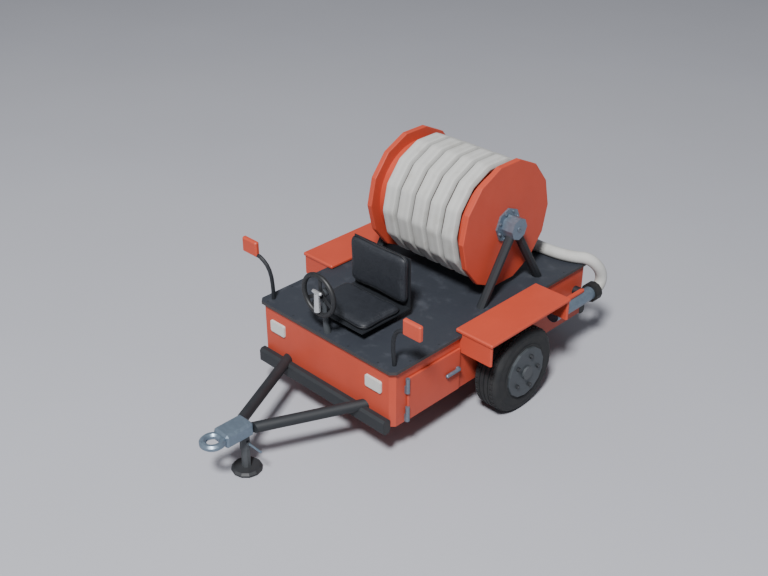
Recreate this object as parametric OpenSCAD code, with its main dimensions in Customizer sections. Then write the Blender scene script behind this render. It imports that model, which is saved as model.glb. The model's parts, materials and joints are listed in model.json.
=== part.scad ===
// Hose reel trailer: a steel locker box on two wheels with a ring hitch, an operator's seat and
// wheel on its deck, and a large hose reel in a stand over the axle.
// +Z is up and the drawbar points to -Y. Left is the door side, +X.

/* [Box] */
// Width of the locker box
box_w = 1084; // [900:2:1300]
// Length of the locker box
box_l = 1755; // [1700:5:1900]
// Height of the locker box
box_h = 356; // [340:2:420]
// Height of the box's underside above the ground
box_bottom = 244; // [236:1:262]
// Bevel on the box's upright corners
box_bevel = 28; // [10:1:40]
// Thickness of the box's sheet steel
sheet_t = 3; // [2:0.5:5]

/* [Deck] */
// How far the deck overhangs the box at the sides
deck_over_side = 16; // [4:1:18]
// How far the deck overhangs the box at the front and rear
deck_over_end = 15; // [4:1:30]
// Thickness of the deck board
deck_t = 18; // [12:1:27]
// Bevel on the deck's corners
deck_bevel = 30; // [10:1:50]

/* [Cross beams] */
// Depth of each cross beam, front to rear
beam_d = 55; // [50:1:80]
// Height of each cross beam
beam_h = 96; // [80:1:110]
// Length of each cross beam
beam_w = 1050; // [900:2:1080]
// How far the beams hang below the box
beam_drop = 33; // [20:1:40]
// Bevel along the beams' edges
beam_bevel = 14; // [6:1:18]
// Wall of the beams
beam_wall = 5; // [3:0.5:8]
// Depth of the plugs in the beams' ends
plug_l = 20; // [10:1:40]

/* [Drawbar] */
// Diameter of the drawbar tubes
drawbar_d = 64; // [48:1:64]
// Wall of the drawbar tubes
drawbar_wall = 4; // [3:0.5:6]
// Sideways place of each tube's axis at the box
drawbar_spread = 325; // [250:5:420]
// Sideways place of each tube's axis at the hitch head
drawbar_gather = 51; // [48:1:56]
// Height of the tubes' axes above the ground
drawbar_z = 300; // [295:1:306]
// Distance from the box's front to the back of the hitch head
drawbar_reach = 573; // [500:1:700]

/* [Hitch] */
// Width of the hitch head
head_w = 124; // [110:1:150]
// Length of the hitch head
head_l = 188; // [170:1:230]
// Height of the hitch head
head_h = 87; // [80:1:100]
// Bevel on the hitch head's edges
head_bevel = 14; // [6:1:18]
// Height of the hitch head above the box's underside
head_lift = 11; // [5:1:20]
// Height of the ring's middle above the hitch head's underside
ring_up = 51; // [40:1:60]
// Radius of the ring's centre line
ring_r = 54; // [50:1:62]
// Half thickness of the ring
ring_half = 19; // [15:1:22]
// Distance from the ring's centre to the hitch head
ring_gap = 48; // [42:1:50]

/* [Jack] */
// Width across the flats of the jack's sleeve
jack_w = 55; // [50:1:62]
// Wall of the jack's sleeve
jack_wall = 3; // [2.5:0.5:5]
// Length of the sleeve below the hitch head
jack_sleeve_l = 105; // [90:1:130]
// Distance from the sleeve's axis to the back of the hitch head
jack_inset = 28; // [27.5:0.5:60]
// Height of the socket in the hitch head
jack_socket = 78; // [60:1:80]
// Travel of the leg
jack_travel = 105; // [60:1:110]
// Radius of the foot
foot_r = 88; // [60:1:110]
// Height of the foot
foot_h = 30; // [20:1:40]
// Bevel on the foot
foot_bevel = 12; // [4:1:14]
// Diameter of the clamp screw
clamp_d = 13; // [10:1:16]
// Length of the clamp screw
clamp_l = 116; // [90:1:140]
// Distance from the hitch head's underside to the clamp screw
clamp_drop = 58; // [40:1:70]

/* [Wheels] */
// Radius of the tyre
tyre_r = 272; // [262:1:290]
// Width of the tyre
tyre_w = 174; // [150:1:190]
// Gap between the box and the tyre's inner side
tyre_gap = 18; // [14:1:33]
// Bevel at the tyre's shoulders
tyre_bevel = 22; // [10:1:30]
// Thickness of the tyre's tread and walls
tyre_wall = 14; // [10:1:20]
// Radius of the wheel's rim
rim_r = 162; // [140:1:170]
// Thickness of the wheel's plate
rim_t = 6; // [4:0.5:8]
// How far the wheel's plate stands proud of the tyre
rim_proud = 15; // [8:1:18]
// Bevel around the wheel's plate
rim_bevel = 4; // [1:0.5:6]
// Number of sides on the wheel's plate
wheel_n = 14; // [12:1:18]
// Radius of the ring of wheel nuts
nut_circle = 103; // [90:1:110]
// Number of wheel nuts
nut_count = 5; // [4:1:6]
// Width of a wheel nut
nut_d = 28; // [20:1:32]
// Height of a wheel nut
nut_h = 12; // [8:1:16]
// Diameter of the wheel studs
stud_d = 12; // [10:1:14]
// Radius of the hub's grease cap
cap_r = 42; // [30:1:48]
// How far the grease cap stands out of the wheel's plate
cap_h = 14; // [8:1:20]
// Diameter of the axle's ends
spindle_d = 36; // [30:1:44]
// Width of the square axle beam
axle_w = 50; // [45:1:55]
// Distance from the box's front to the axle
axle_y = 917; // [850:1:1000]

/* [Fenders] */
// Length of a fender's top
fender_l = 730; // [640:5:800]
// Distance from the axle to a fender's front end
fender_ahead = 382; // [330:1:382]
// How far the fender reaches past the tyre's outer side
fender_out = 45; // [26:1:66]
// How far a fender's top reaches in over the deck
fender_in = 46; // [20:1:70]
// Height of a fender's top plate
fender_t = 25; // [18:1:34]
// Gap between the deck and a fender's top plate
fender_lift = 2; // [1:0.5:6]
// How far the skirts hang down from the top plate
skirt_h = 123; // [80:1:140]
// Thickness of a fender's sheet
fender_sheet = 3; // [2:0.5:4]
// Bevel on a fender's edges
fender_bevel = 7; // [3:1:10]

/* [Lamps] */
// Width of a lamp
lamp_w = 124; // [80:1:150]
// Height of a lamp
lamp_h = 77; // [50:1:90]
// Depth of a lamp
lamp_d = 12; // [8:1:20]
// Corner radius of a lamp
lamp_corner = 12; // [6:1:20]
// Sideways place of each lamp
lamp_x = 400; // [320:5:440]
// Height of the lamps above the box's underside
lamp_up = 235; // [150:1:280]

/* [Side door] */
// Length of the side door
door_l = 430; // [300:1:431]
// Height of the side door
door_h = 282; // [200:1:300]
// Thickness of the side door
door_t = 14; // [10:1:20]
// Distance from the box's front to the door
door_y = 108; // [100:1:140]
// Height of the door above the box's underside
door_up = 6; // [4:1:40]
// How far the door covers the box around its opening
door_lap = 15; // [10:1:25]
// Bevel on the door's edges
door_bevel = 5; // [2:1:6]
// Diameter of the hinge barrels
barrel_d = 25; // [18:0.5:28]
// Length of each hinge barrel
barrel_l = 94; // [60:1:110]
// Diameter of the hinge pins
hinge_pin_d = 10; // [6:0.5:12]
// Diameter of the lever handle
handle_d = 22; // [14:1:26]
// Length of the lever handle
handle_l = 120; // [90:1:160]
// Distance from the door's free edge to the handle's spindle
handle_inset = 24; // [22:1:60]
// Reach of the latch tongue
latch_reach = 24; // [18:1:30]

/* [Seat] */
// Width of the seat
seat_w = 470; // [380:2:520]
// Length of the seat cushion
seat_l = 328; // [280:2:400]
// Thickness of the seat cushion
seat_t = 40; // [30:1:60]
// Height of the cushion's underside above the deck
seat_up = 65; // [50:1:160]
// Distance from the deck's front edge to the seat cushion
seat_y = 100; // [90:1:200]
// Height of the backrest pad
back_h = 316; // [240:2:400]
// Thickness of the backrest pad
back_t = 48; // [36:1:60]
// Height of the backrest pad's lower edge above the cushion's underside
back_up = 23; // [10:1:60]
// Swell of the cushions
crown = 8; // [2:1:14]

/* [Steering] */
// Radius of the steering wheel's rim line
steer_r = 120; // [110:1:150]
// Half thickness of the rim
rim_half = 14.5; // [10:0.5:16]
// Height of the wheel's centre above the deck
steer_up = 265; // [240:1:320]
// Distance of the wheel's rim in front of the deck's edge
steer_y = 12; // [4:1:30]
// Diameter of the column's foot
column_foot_d = 46; // [36:1:60]
// Distance from the deck's front edge to the column's foot
column_y = 44; // [36:1:60]

/* [Mirrors] */
// Distance from the deck's side out to the mirror head
mirror_out = 33; // [20:1:60]
// Height of the mirror's pivot above the deck
mirror_up = 264; // [200:1:320]
// Width of a mirror head
mirror_w = 128; // [90:1:150]
// Height of a mirror head
mirror_h = 98; // [60:1:110]
// Depth of a mirror head
mirror_d = 32; // [26:1:40]
// Bevel on a mirror head
mirror_bevel = 9; // [3:1:10]
// Diameter of a mirror's arm
arm_d = 24; // [16:1:28]

/* [Reel] */
// Distance from the box's front to the reel's axle
reel_y = 1115; // [1080:1:1150]
// Height of the reel's axle above the deck
reel_up = 427; // [415:1:460]
// Corner radius of the flanges
flange_r = 393; // [360:1:400]
// Number of sides on a flange
flange_n = 14; // [14:2:20]
// Thickness of a flange
flange_t = 36; // [24:1:40]
// Thickness of the flanges' plates
flange_plate = 3.5; // [2.5:0.5:5]
// Width between the flanges
reel_w = 698; // [698:1:720]
// Outer corner radius of the hose winding
wind_r = 378; // [350:1:380]
// Number of turns in the winding
wind_turns = 5; // [4:1:5]
// Distance between the middles of two turns
wind_pitch = 118; // [115:0.5:120]
// Distance of the winding's middle from the reel's middle, towards the outlet
wind_shift = 10; // [0:1:20]
// Width of the flattened hose
wind_w = 113; // [90:1:114]
// Width of the flattened hose's crest
wind_crest = 78; // [50:1:90]
// Thickness of the flattened hose
wind_t = 52; // [40:1:60]
// Diameter of the reel's axle
reel_axle_d = 36; // [30:1:44]
// Radius of the steel plates on the flanges
hub_plate_r = 107; // [90:1:130]
// Thickness of the steel plates on the flanges
hub_plate_t = 12; // [8:1:14]
// Radius of the bearing blocks
bearing_r = 69; // [60:1:76]
// Width of the bearing blocks
bearing_w = 81; // [60:1:84]
// Width of the stand's legs
stand_w = 50; // [40:1:56]
// Wall of the stand's legs
stand_wall = 5; // [3:0.5:8]
// Half the distance between a side's two feet
stand_spread = 266; // [220:2:300]

/* [Hose outlet] */
// Distance from the box's side to the middle of the outlet pipe
pipe_out = 88; // [70:1:110]
// Diameter of the hose
hose_d = 75; // [75:1:76]
// Outer diameter of the outlet pipe
pipe_d = 89; // [86:1:92]
// Wall of the outlet pipe
pipe_wall = 3.2; // [2:0.2:5]
// Length of the outlet pipe
pipe_l = 411; // [380:1:430]
// Outer diameter of the hose collar
collar_d = 124; // [110:1:130]
// Length of the hose collar
collar_l = 55; // [40:1:56]
// Outer diameter of the feed stub
stub_d = 60; // [50:1:64]
// Gap between the hose collar and the feed stub
stub_gap = 3; // [1:0.5:20]
// Distance from the pipe's front end to the valve's stem
valve_inset = 134; // [100:1:160]
// Length of the valve lever from its stem
lever_l = 177; // [120:1:200]
// Width of the valve lever
lever_w = 28; // [20:1:34]
// Thickness of the valve lever
lever_t = 12; // [6:1:14]
// Outer diameter of the loose end's coupling
coupling_d = 96; // [90:1:96]
// Length of the loose end's coupling
coupling_l = 66; // [50:1:70]

/* [Fits] */
// Radial clearance of a turning fit
run_gap = 0.05; // [0.03:0.01:0.1]
// Clearance of a sliding or seated fit
seat_gap = 0.2; // [0.1:0.05:0.3]

/* [Hidden] */

$fn = 48;
LEFT = 1;
RIGHT = -1;

// Paint and finish colours
ORANGE = "#c4553f";
DARK = "#3b4048";
BLACK = "#1d1f22";
STEEL = "#76879c";
GREY = "#8a8f96";
WHITE = "#cfcfca";

// Heights
box_top = box_bottom + box_h;
deck_top = box_top + deck_t;
beam_bottom = box_bottom - beam_drop;
fender_bottom = deck_top + fender_lift;

// Lengths along Y, measured from the deck's front edge
box_y = deck_over_end;
box_rear = box_y + box_l;
deck_w = box_w + 2 * deck_over_side;
tyre_x = box_w / 2 + tyre_gap;
fender_x = tyre_x + tyre_w + fender_out;
deck_l = box_l + 2 * deck_over_end;
head_rear = box_y - drawbar_reach;
head_front = head_rear - head_l;
ring_y = head_front - ring_gap;
ring_z = box_bottom + head_lift + ring_up;
tip_y = ring_y - ring_r - ring_half;
tail_y = box_rear + beam_d;

// Moves the part so that its origin is at the middle of its length, on the ground
module place() translate([0, -(tip_y + tail_y) / 2, 0]) children();

// Builds a child on the left, or mirrored on the right
module sided(side) {
    if (side == LEFT) children();
    else mirror([1, 0, 0]) children();
}

// A bar from a to b with its own profile along the line
module along(a, b) {
    d = b - a;
    translate(a)
        rotate([0, acos(d.z / norm(d)), atan2(d.y, d.x)])
            children();
}

// A block with every edge bevelled, centred on the origin
module bevel_block(size, bevel) {
    hull() {
        cube([size.x, size.y - 2 * bevel, size.z - 2 * bevel], center = true);
        cube([size.x - 2 * bevel, size.y, size.z - 2 * bevel], center = true);
        cube([size.x - 2 * bevel, size.y - 2 * bevel, size.z], center = true);
    }
}

// A rectangle with bevelled corners, centred in X and Y
module bevel_rect(w, l, bevel) {
    polygon([
        [-w / 2 + bevel, -l / 2], [w / 2 - bevel, -l / 2],
        [w / 2, -l / 2 + bevel], [w / 2, l / 2 - bevel],
        [w / 2 - bevel, l / 2], [-w / 2 + bevel, l / 2],
        [-w / 2, l / 2 - bevel], [-w / 2, -l / 2 + bevel]
    ]);
}

// A regular polygon with a corner on +X
module sides(n, r) polygon([for (i = [0 : n - 1]) r * [cos(360 * i / n), sin(360 * i / n)]]);

// An eight-sided prism given by its width across the flats, with a flat towards +X
module octagon(width, h) rotate(22.5) cylinder(r = width / 2 / cos(22.5), h = h, $fn = 8);

// A cylinder along +X, its start at the given X
module along_x(x, r, h) translate([x, 0, 0]) rotate([0, 90, 0]) cylinder(r = r, h = h);

// Axle line of the wheels and the reel
axle_z = tyre_r;
axle_at = box_y + axle_y;
bead_in = 16;
reel_at = box_y + reel_y;
reel_z = deck_top + reel_up;

// Gap that the weld fills between two sheets of the box
weld_seam = 0.2;

// Opening in the box's side behind the door
opening_y = door_y + door_lap;
opening_l = door_l - 2 * door_lap;
opening_z = box_bottom + door_up + door_lap;
opening_h = door_h - 2 * door_lap;

// Height of the hose's middle where it lies on the deck, and of its coupling's
lie = deck_top + hose_d / 2 + 0.3;
coupling_lie = deck_top + coupling_d / 2 + 0.3;

// Middle of the hose's tail from the outlet, over the deck's corner, to its end under the reel
tail_route = [
    [630, 1730, 445], [630, 1750, 445], [631, 1770, 449], [632, 1788, 459], [633, 1803, 475],
    [633, 1812, 496], [632, 1814, 520], [630, 1810, 544], [627, 1801, 567], [622, 1789, 589],
    [614, 1775, 610], [603, 1761, 629], [588, 1747, 644], [569, 1734, 654], [545, 1721, 658],
    [518, 1707, lie], [490, 1693, lie], [460, 1681, lie], [428, 1671, lie], [392, 1663, lie],
    [350, 1658, lie], [300, 1655, lie], [245, 1652, lie], [195, 1646, lie], [148, 1633, lie],
    [104, 1610, lie], [66, 1577, lie], [36, 1535, 657], [20, 1488, 660], [12, 1440, 664],
    [12, 1400, coupling_lie], [12, 1365, coupling_lie]
];

// The outlet pipe lines up with the hose, which moves sideways with it
shoulder_t = 3;
pipe_x = box_w / 2 + pipe_out;
tail_run = [for (p = tail_route) p + [pipe_x - tail_route[0].x, 0, 0]];
pipe_z = tail_route[0].z;
pipe_rear = tail_route[0].y - shoulder_t;
pipe_front = pipe_rear - pipe_l;
stub_inset = collar_l / 2 + stub_d / 2 + stub_gap;
stub_y = pipe_rear - stub_inset;
valve_y = pipe_front + valve_inset;

// BOX AND DECK
module box_outline(inset) {
    translate([0, box_y + box_l / 2])
        bevel_rect(box_w - 2 * inset, box_l - 2 * inset, box_bevel - inset * tan(22.5));
}

module box_walls() {
    difference() {
        translate([0, 0, box_bottom]) linear_extrude(box_h) box_outline(0);
        translate([0, 0, box_bottom - 1]) linear_extrude(box_h + 2) box_outline(sheet_t);
        for (side = [LEFT, RIGHT])
            translate([side * box_w / 2, axle_at, axle_z])
                along_x(-2 * sheet_t, spindle_d / 2 + seat_gap, 4 * sheet_t);
        translate([box_w / 2, stub_y, pipe_z]) along_x(-2 * sheet_t, stub_d / 2 + seat_gap, 4 * sheet_t);
    }
}

// One sheet of the walls, cut out between two corners with half a weld seam all round
module sheet(low, high) {
    intersection() {
        box_walls();
        translate(low + weld_seam / 2 * [1, 1, 1]) cube(high - low - weld_seam * [1, 1, 1]);
    }
}

// Welded up from a floor, two end sheets folded at the corners, a right side sheet, and on the
// door side a post, a sill, a header and a rear sheet around the door opening
module box_shell() {
    front = box_y + box_bevel + sheet_t;
    rear = box_y + box_l - box_bevel - sheet_t;
    post = box_y + opening_y;
    jamb = post + opening_l;
    low = box_bottom + sheet_t;
    high = box_bottom + box_h + 1;
    color(ORANGE) place() {
        translate([0, 0, box_bottom]) linear_extrude(sheet_t) box_outline(0);
        sheet([-box_w, box_y - 1, low], [box_w, front, high]);
        sheet([-box_w, rear, low], [box_w, box_y + box_l + 1, high]);
        sheet([-box_w, front, low], [0, rear, high]);
        sheet([0, front, low], [box_w, post, high]);
        sheet([0, post, low], [box_w, jamb, opening_z]);
        sheet([0, post, opening_z + opening_h], [box_w, jamb, high]);
        sheet([0, jamb, low], [box_w, rear, high]);
    }
}

module deck_plate() {
    color(DARK) place() translate([0, deck_l / 2, box_top])
        linear_extrude(deck_t) bevel_rect(deck_w, deck_l, deck_bevel);
}

// CROSS BEAMS
front_beam_y = box_y - beam_d / 2;
rear_beam_y = box_rear + beam_d / 2;

// A beam along X with its middle at the given Y, its outline drawn in by inset
module beam_at(y, inset, length) {
    translate([-length / 2, y, beam_bottom + beam_h / 2]) rotate([90, 0, 90]) linear_extrude(length)
        bevel_rect(beam_d - 2 * inset, beam_h - 2 * inset, beam_bevel - inset * tan(22.5));
}

module cross_beam(y) {
    difference() {
        beam_at(y, 0, beam_w);
        beam_at(y, beam_wall, beam_w + 2);
    }
}

module front_beam() color(DARK) place() cross_beam(front_beam_y);

module rear_beam() color(DARK) place() cross_beam(rear_beam_y);

// Plugs in the four beam ends
module beam_plugs() {
    color(BLACK) place()
        for (y = [front_beam_y, rear_beam_y], side = [LEFT, RIGHT])
            translate([side * (beam_w - plug_l) / 2, 0, 0]) beam_at(y, beam_wall + seat_gap, plug_l);
}

// DRAWBAR AND HITCH
// Each tube is closed by a plate at the hitch head and runs through the front beam to the box
module drawbar_tubes() {
    color(DARK) place() for (side = [LEFT, RIGHT]) {
        a = [side * drawbar_gather, head_rear, drawbar_z];
        b = [side * drawbar_spread, box_y, drawbar_z];
        run = (b - a) / norm(b - a);
        difference() {
            along(a - drawbar_d * run, b + drawbar_d * run)
                cylinder(d = drawbar_d, h = norm(b - a) + 2 * drawbar_d);
            difference() {
                along(a, b + drawbar_d * run)
                    cylinder(d = drawbar_d - 2 * drawbar_wall, h = norm(b - a) + 2 * drawbar_d);
                translate([-box_w / 2, head_rear + drawbar_wall - box_w, 0])
                    cube([box_w, box_w, 2 * drawbar_z]);
            }
            translate([-box_w / 2, head_rear - 3 * drawbar_d, 0])
                cube([box_w, 3 * drawbar_d, 2 * drawbar_z]);
            translate([-box_w / 2, box_y, 0]) cube([box_w, 3 * drawbar_d, 2 * drawbar_z]);
            beam_at(front_beam_y, 0, beam_w);
        }
    }
}

head_bottom = box_bottom + head_lift;
head_mid = [0, head_rear - head_l / 2, head_bottom + head_h / 2];
jack_y = head_rear - jack_inset;

module coupler() {
    color(STEEL) place() difference() {
        translate(head_mid) bevel_block([head_w, head_l, head_h], head_bevel);
        translate([0, jack_y, head_bottom - 1]) octagon(jack_w + 2 * seat_gap, jack_socket + 1);
    }
}

// The towing ring, flat where it is welded to the hitch head
module lunette_ring() {
    land = ring_half * tan(22.5);
    color(STEEL) place() difference() {
        translate([0, ring_y, ring_z]) rotate_extrude($fn = 64)
            translate([ring_r, 0]) polygon([
                [-ring_half, -land], [-land, -ring_half], [land, -ring_half], [ring_half, -land],
                [ring_half, land], [land, ring_half], [-land, ring_half], [-ring_half, land]
            ]);
        translate([-head_w, head_front, 0]) cube([2 * head_w, head_l, 2 * ring_z]);
    }
}

// JACK
sleeve_bottom = head_bottom - jack_sleeve_l;
clamp_z = head_bottom - clamp_drop;
leg_w = jack_w - 2 * jack_wall - 2 * seat_gap;
leg_top = head_bottom + jack_socket - jack_travel - 4;
boss_l = 14;

module jack_sleeve() {
    color(GREY) place() difference() {
        union() {
            translate([0, jack_y, sleeve_bottom]) octagon(jack_w, jack_sleeve_l + jack_socket - seat_gap);
            translate([0, jack_y, clamp_z]) along_x(jack_w / 2 - 1, clamp_d, boss_l);
        }
        translate([0, jack_y, sleeve_bottom - 1])
            octagon(jack_w - 2 * jack_wall, jack_sleeve_l + jack_socket + 2);
        translate([0, jack_y, clamp_z]) along_x(0, clamp_d / 2 + run_gap, jack_w);
    }
}

module jack_leg() {
    color(GREY) place() translate([0, jack_y, foot_h]) difference() {
        octagon(leg_w, leg_top - foot_h);
        translate([0, 0, jack_wall]) octagon(leg_w - 2 * jack_wall, leg_top);
    }
}

module jack_foot() {
    color(BLACK) place() translate([0, jack_y, 0]) hull() {
        translate([0, 0, foot_bevel]) cylinder(r = foot_r, h = foot_h - 2 * foot_bevel, $fn = 12);
        cylinder(r = foot_r - foot_bevel, h = foot_h, $fn = 12);
    }
}

module jack_clamp_screw() {
    color(STEEL) place() translate([0, jack_y, clamp_z]) along_x(leg_w / 2 + seat_gap, clamp_d / 2, clamp_l);
}

// RUNNING GEAR
hub_r = 60;
hub_flange_t = 12;
hub_flange_r = nut_circle + stud_d;
tyre_face = tyre_x + tyre_w;
wheel_face = tyre_face + rim_proud;
plate_back = wheel_face - rim_t;
hub_start = tyre_x + 8;
spindle_end = plate_back - 4;

// Puts a child at the wheels' axle line
module at_axle(side) place() translate([0, axle_at, axle_z]) sided(side) children();

// Repeats a child along +X at each wheel stud
module at_studs() {
    for (i = [0 : nut_count - 1])
        rotate([360 * i / nut_count, 0, 0]) translate([0, nut_circle, 0]) children();
}

module axle_beam() {
    inside = box_w / 2 - sheet_t - seat_gap;
    color(GREY) {
        at_axle(LEFT) translate([-inside, -axle_w / 2, -axle_w / 2]) cube([2 * inside, axle_w, axle_w]);
        for (side = [LEFT, RIGHT]) at_axle(side) {
            along_x(inside - 1, spindle_d / 2, spindle_end - inside + 1);
            along_x(box_w / 2, spindle_d, hub_start - seat_gap - box_w / 2);
        }
    }
}

module hub(side) {
    color(GREY) at_axle(side) difference() {
        union() {
            along_x(hub_start, hub_r, plate_back - hub_start);
            along_x(plate_back - hub_flange_t, hub_flange_r, hub_flange_t);
            along_x(plate_back - 1, cap_r, rim_t + cap_h + 1);
            at_studs() along_x(plate_back - hub_flange_t, stud_d / 2, hub_flange_t + rim_t + nut_h);
        }
        along_x(hub_start - 1, spindle_d / 2 + run_gap, spindle_end - hub_start + 2);
    }
}

module rim(side) {
    barrel_r = rim_r - 20;
    color(STEEL) at_axle(side) difference() {
        rotate([0, 90, 0]) {
            translate([0, 0, tyre_face + seat_gap]) hull() {
                linear_extrude(rim_proud - seat_gap) sides(wheel_n, rim_r - rim_bevel);
                linear_extrude(rim_proud - seat_gap - rim_bevel) sides(wheel_n, rim_r);
            }
            translate([0, 0, tyre_x + bead_in]) cylinder(r = barrel_r, h = tyre_w - bead_in + 1, $fn = 64);
            translate([0, 0, tyre_x + bead_in]) cylinder(r = rim_r, h = rim_t - 2, $fn = 64);
        }
        along_x(tyre_x, barrel_r - rim_t + 1, plate_back - tyre_x);
        along_x(plate_back - 1, cap_r + seat_gap, rim_t + 2);
        at_studs() along_x(plate_back - 1, stud_d / 2 + seat_gap, rim_t + 2);
    }
}

// The casing runs from one bead up under the tread to the other bead
module tyre(side) {
    w = tyre_w;
    inner = rim_r - 20 + seat_gap;
    bead = bead_in + rim_t - 2 + seat_gap;
    shoulder = tyre_r - tyre_bevel;
    inside_r = tyre_r - tyre_wall;
    inside_shoulder = inside_r - tyre_bevel * 0.7;
    color(BLACK) at_axle(side) rotate([0, 90, 0]) translate([0, 0, tyre_x]) rotate_extrude($fn = 96) polygon([
        [inner, bead], [rim_r + 4, bead], [rim_r + 12, 0], [shoulder, 0], [tyre_r, tyre_bevel],
        [tyre_r, w - tyre_bevel], [shoulder, w], [inner, w],
        [inner, w - tyre_wall], [inside_shoulder, w - tyre_wall], [inside_r, w - tyre_wall - tyre_bevel * 0.7],
        [inside_r, tyre_wall + tyre_bevel * 0.7], [inside_shoulder, tyre_wall],
        [rim_r + 12 + tyre_wall, tyre_wall], [inner, bead + tyre_wall]
    ]);
}

module wheel_nuts(side) {
    color(BLACK) at_axle(side) at_studs() translate([wheel_face, 0, 0]) rotate([0, 90, 0]) difference() {
        cylinder(d = nut_d, h = nut_h, $fn = 6);
        translate([0, 0, -1]) cylinder(d = stud_d + 2 * seat_gap, h = nut_h + 2);
    }
}

// FENDERS AND LAMPS
fender_inner = deck_w / 2 - fender_in;
fender_w = fender_x - fender_inner;
fender_front = axle_at - fender_ahead;
skirt_t = 14;

module skirt(y) {
    start = box_w / 2;
    out = fender_x - fender_bevel;
    top = fender_bottom + fender_t - fender_sheet;
    h = top - (fender_bottom - skirt_h);
    difference() {
        translate([(start + out) / 2, y, top - h / 2]) linear_extrude(h, center = true) polygon([
                [(start - out) / 2, -skirt_t / 2], [(out - start) / 2 - skirt_t / 2, -skirt_t / 2],
                [(out - start) / 2, 0], [(out - start) / 2, skirt_t / 2], [(start - out) / 2, skirt_t / 2]
            ]);
        translate([0, y - skirt_t, box_top - seat_gap])
            cube([deck_w / 2 + seat_gap, 2 * skirt_t, deck_t + 2 * seat_gap]);
    }
}

module fender(side) {
    color(ORANGE) place() sided(side) union() {
        difference() {
            translate([(fender_inner + fender_x) / 2, fender_front + fender_l / 2, fender_bottom + fender_t / 2])
                bevel_block([fender_w, fender_l, fender_t], fender_bevel);
            translate([fender_inner + fender_bevel, fender_front + fender_bevel, fender_bottom - 1])
                cube([fender_w - 2 * fender_bevel, fender_l - 2 * fender_bevel, fender_t - fender_sheet + 1]);
        }
        skirt(fender_front + fender_bevel + skirt_t / 2);
        skirt(fender_front + fender_l - fender_bevel - skirt_t / 2);
    }
}

module round_rect(w, h, r) {
    square([w - 2 * r, h], center = true);
    square([w, h - 2 * r], center = true);
    for (x = [-1, 1], y = [-1, 1]) translate([x * (w / 2 - r), y * (h / 2 - r)]) circle(r = r);
}

// Puts a child at both lamps, its drawing plane against the box and its height towards -Y
module at_lamps() {
    for (side = [LEFT, RIGHT])
        translate([side * lamp_x, box_y, box_bottom + lamp_up]) rotate([90, 0, 0]) children();
}

lamp_rim = 4;

module lamp_housings() {
    color(GREY) place() at_lamps() difference() {
        linear_extrude(lamp_d - 2) round_rect(lamp_w, lamp_h, lamp_corner);
        translate([0, 0, 3]) linear_extrude(lamp_d)
            round_rect(lamp_w - 2 * lamp_rim, lamp_h - 2 * lamp_rim, lamp_corner - lamp_rim);
    }
}

module lamp_lenses() {
    inset = lamp_rim + seat_gap;
    color(WHITE) place() at_lamps() translate([0, 0, 3]) linear_extrude(lamp_d - 3)
        round_rect(lamp_w - 2 * inset, lamp_h - 2 * inset, lamp_corner - inset);
}

// SIDE DOOR
door_x = box_w / 2 + seat_gap;
door_front = box_y + door_y;
door_rear = door_front + door_l;
door_bottom = box_bottom + door_up;
door_top = door_bottom + door_h;
door_edge = 17;
barrel_x = box_w / 2 + barrel_d / 2 + 0.5;
barrel_y = door_front - 3;
notch_y = barrel_y + barrel_d / 2 + 1;
handle_y = door_rear - handle_inset;
handle_z = door_bottom + door_h * 0.54;
handle_x = door_x + door_t + handle_d / 2 + 2;
spindle_r = 8;

// Puts a child at the foot of each hinge barrel
module at_barrels() {
    for (z = [door_bottom, door_top - barrel_l]) translate([barrel_x, barrel_y, z]) children();
}

module side_door() {
    color(ORANGE) place() difference() {
        translate([door_x + door_t / 2, door_front + door_l / 2, door_bottom + door_h / 2])
            bevel_block([door_t, door_l, door_h], door_bevel);
        translate([door_x - 1, door_front + door_edge, door_bottom + door_bevel])
            cube([door_t - sheet_t + 1, door_l - door_edge - door_bevel, door_h - 2 * door_bevel]);
        at_barrels() translate([-barrel_d, -barrel_d, -1])
            cube([2 * barrel_d, barrel_d + notch_y - barrel_y, barrel_l + 2]);
        translate([0, handle_y, handle_z]) along_x(door_x - 1, spindle_r + run_gap, door_t + 2);
    }
}

// The fixed half of each hinge, with its pin
module hinge_knuckles() {
    color(STEEL) place() at_barrels() {
        cylinder(d = barrel_d, h = barrel_l / 2 - seat_gap);
        cylinder(d = hinge_pin_d, h = barrel_l);
        translate([box_w / 2 - barrel_x, -barrel_d / 2, 0])
            cube([barrel_x - box_w / 2, barrel_d / 3, barrel_l / 2 - seat_gap]);
    }
}

// The door's half of each hinge
module door_knuckles() {
    color(STEEL) place() at_barrels() translate([0, 0, barrel_l / 2]) difference() {
        union() {
            cylinder(d = barrel_d, h = barrel_l / 2);
            translate([-barrel_d / 4, 0, 0]) cube([barrel_d / 4, notch_y - barrel_y, barrel_l / 2]);
        }
        translate([0, 0, -1]) cylinder(r = hinge_pin_d / 2 + run_gap, h = barrel_l);
    }
}

// The lever turns the latch tongue behind the edge of the opening
module door_handle() {
    inside = box_w / 2 - sheet_t - 1;
    tongue_w = 12;
    tongue_t = 6;
    color(STEEL) place() translate([0, handle_y, handle_z]) {
        along_x(inside - tongue_t, spindle_r, handle_x - inside + tongue_t);
        along_x(door_x + door_t + seat_gap, 15, handle_x - door_x - door_t - seat_gap);
        translate([handle_x, 0, 0]) sphere(d = handle_d);
        translate([handle_x, 0, 0]) rotate([90, 0, 0]) cylinder(d = handle_d, h = handle_l - handle_d);
        translate([handle_x, handle_d - handle_l, 0]) sphere(d = handle_d);
        translate([inside - tongue_t, -tongue_w / 2, -latch_reach])
            cube([tongue_t, tongue_w, latch_reach]);
    }
}

// SEAT
cushion_z = deck_top + seat_up;
pan_t = 8;
pan_w = seat_w - 20;
pad_y = seat_y + seat_l + 3;
pedestal = [180, 150];
pedestal_y = seat_y + 160;

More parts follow.
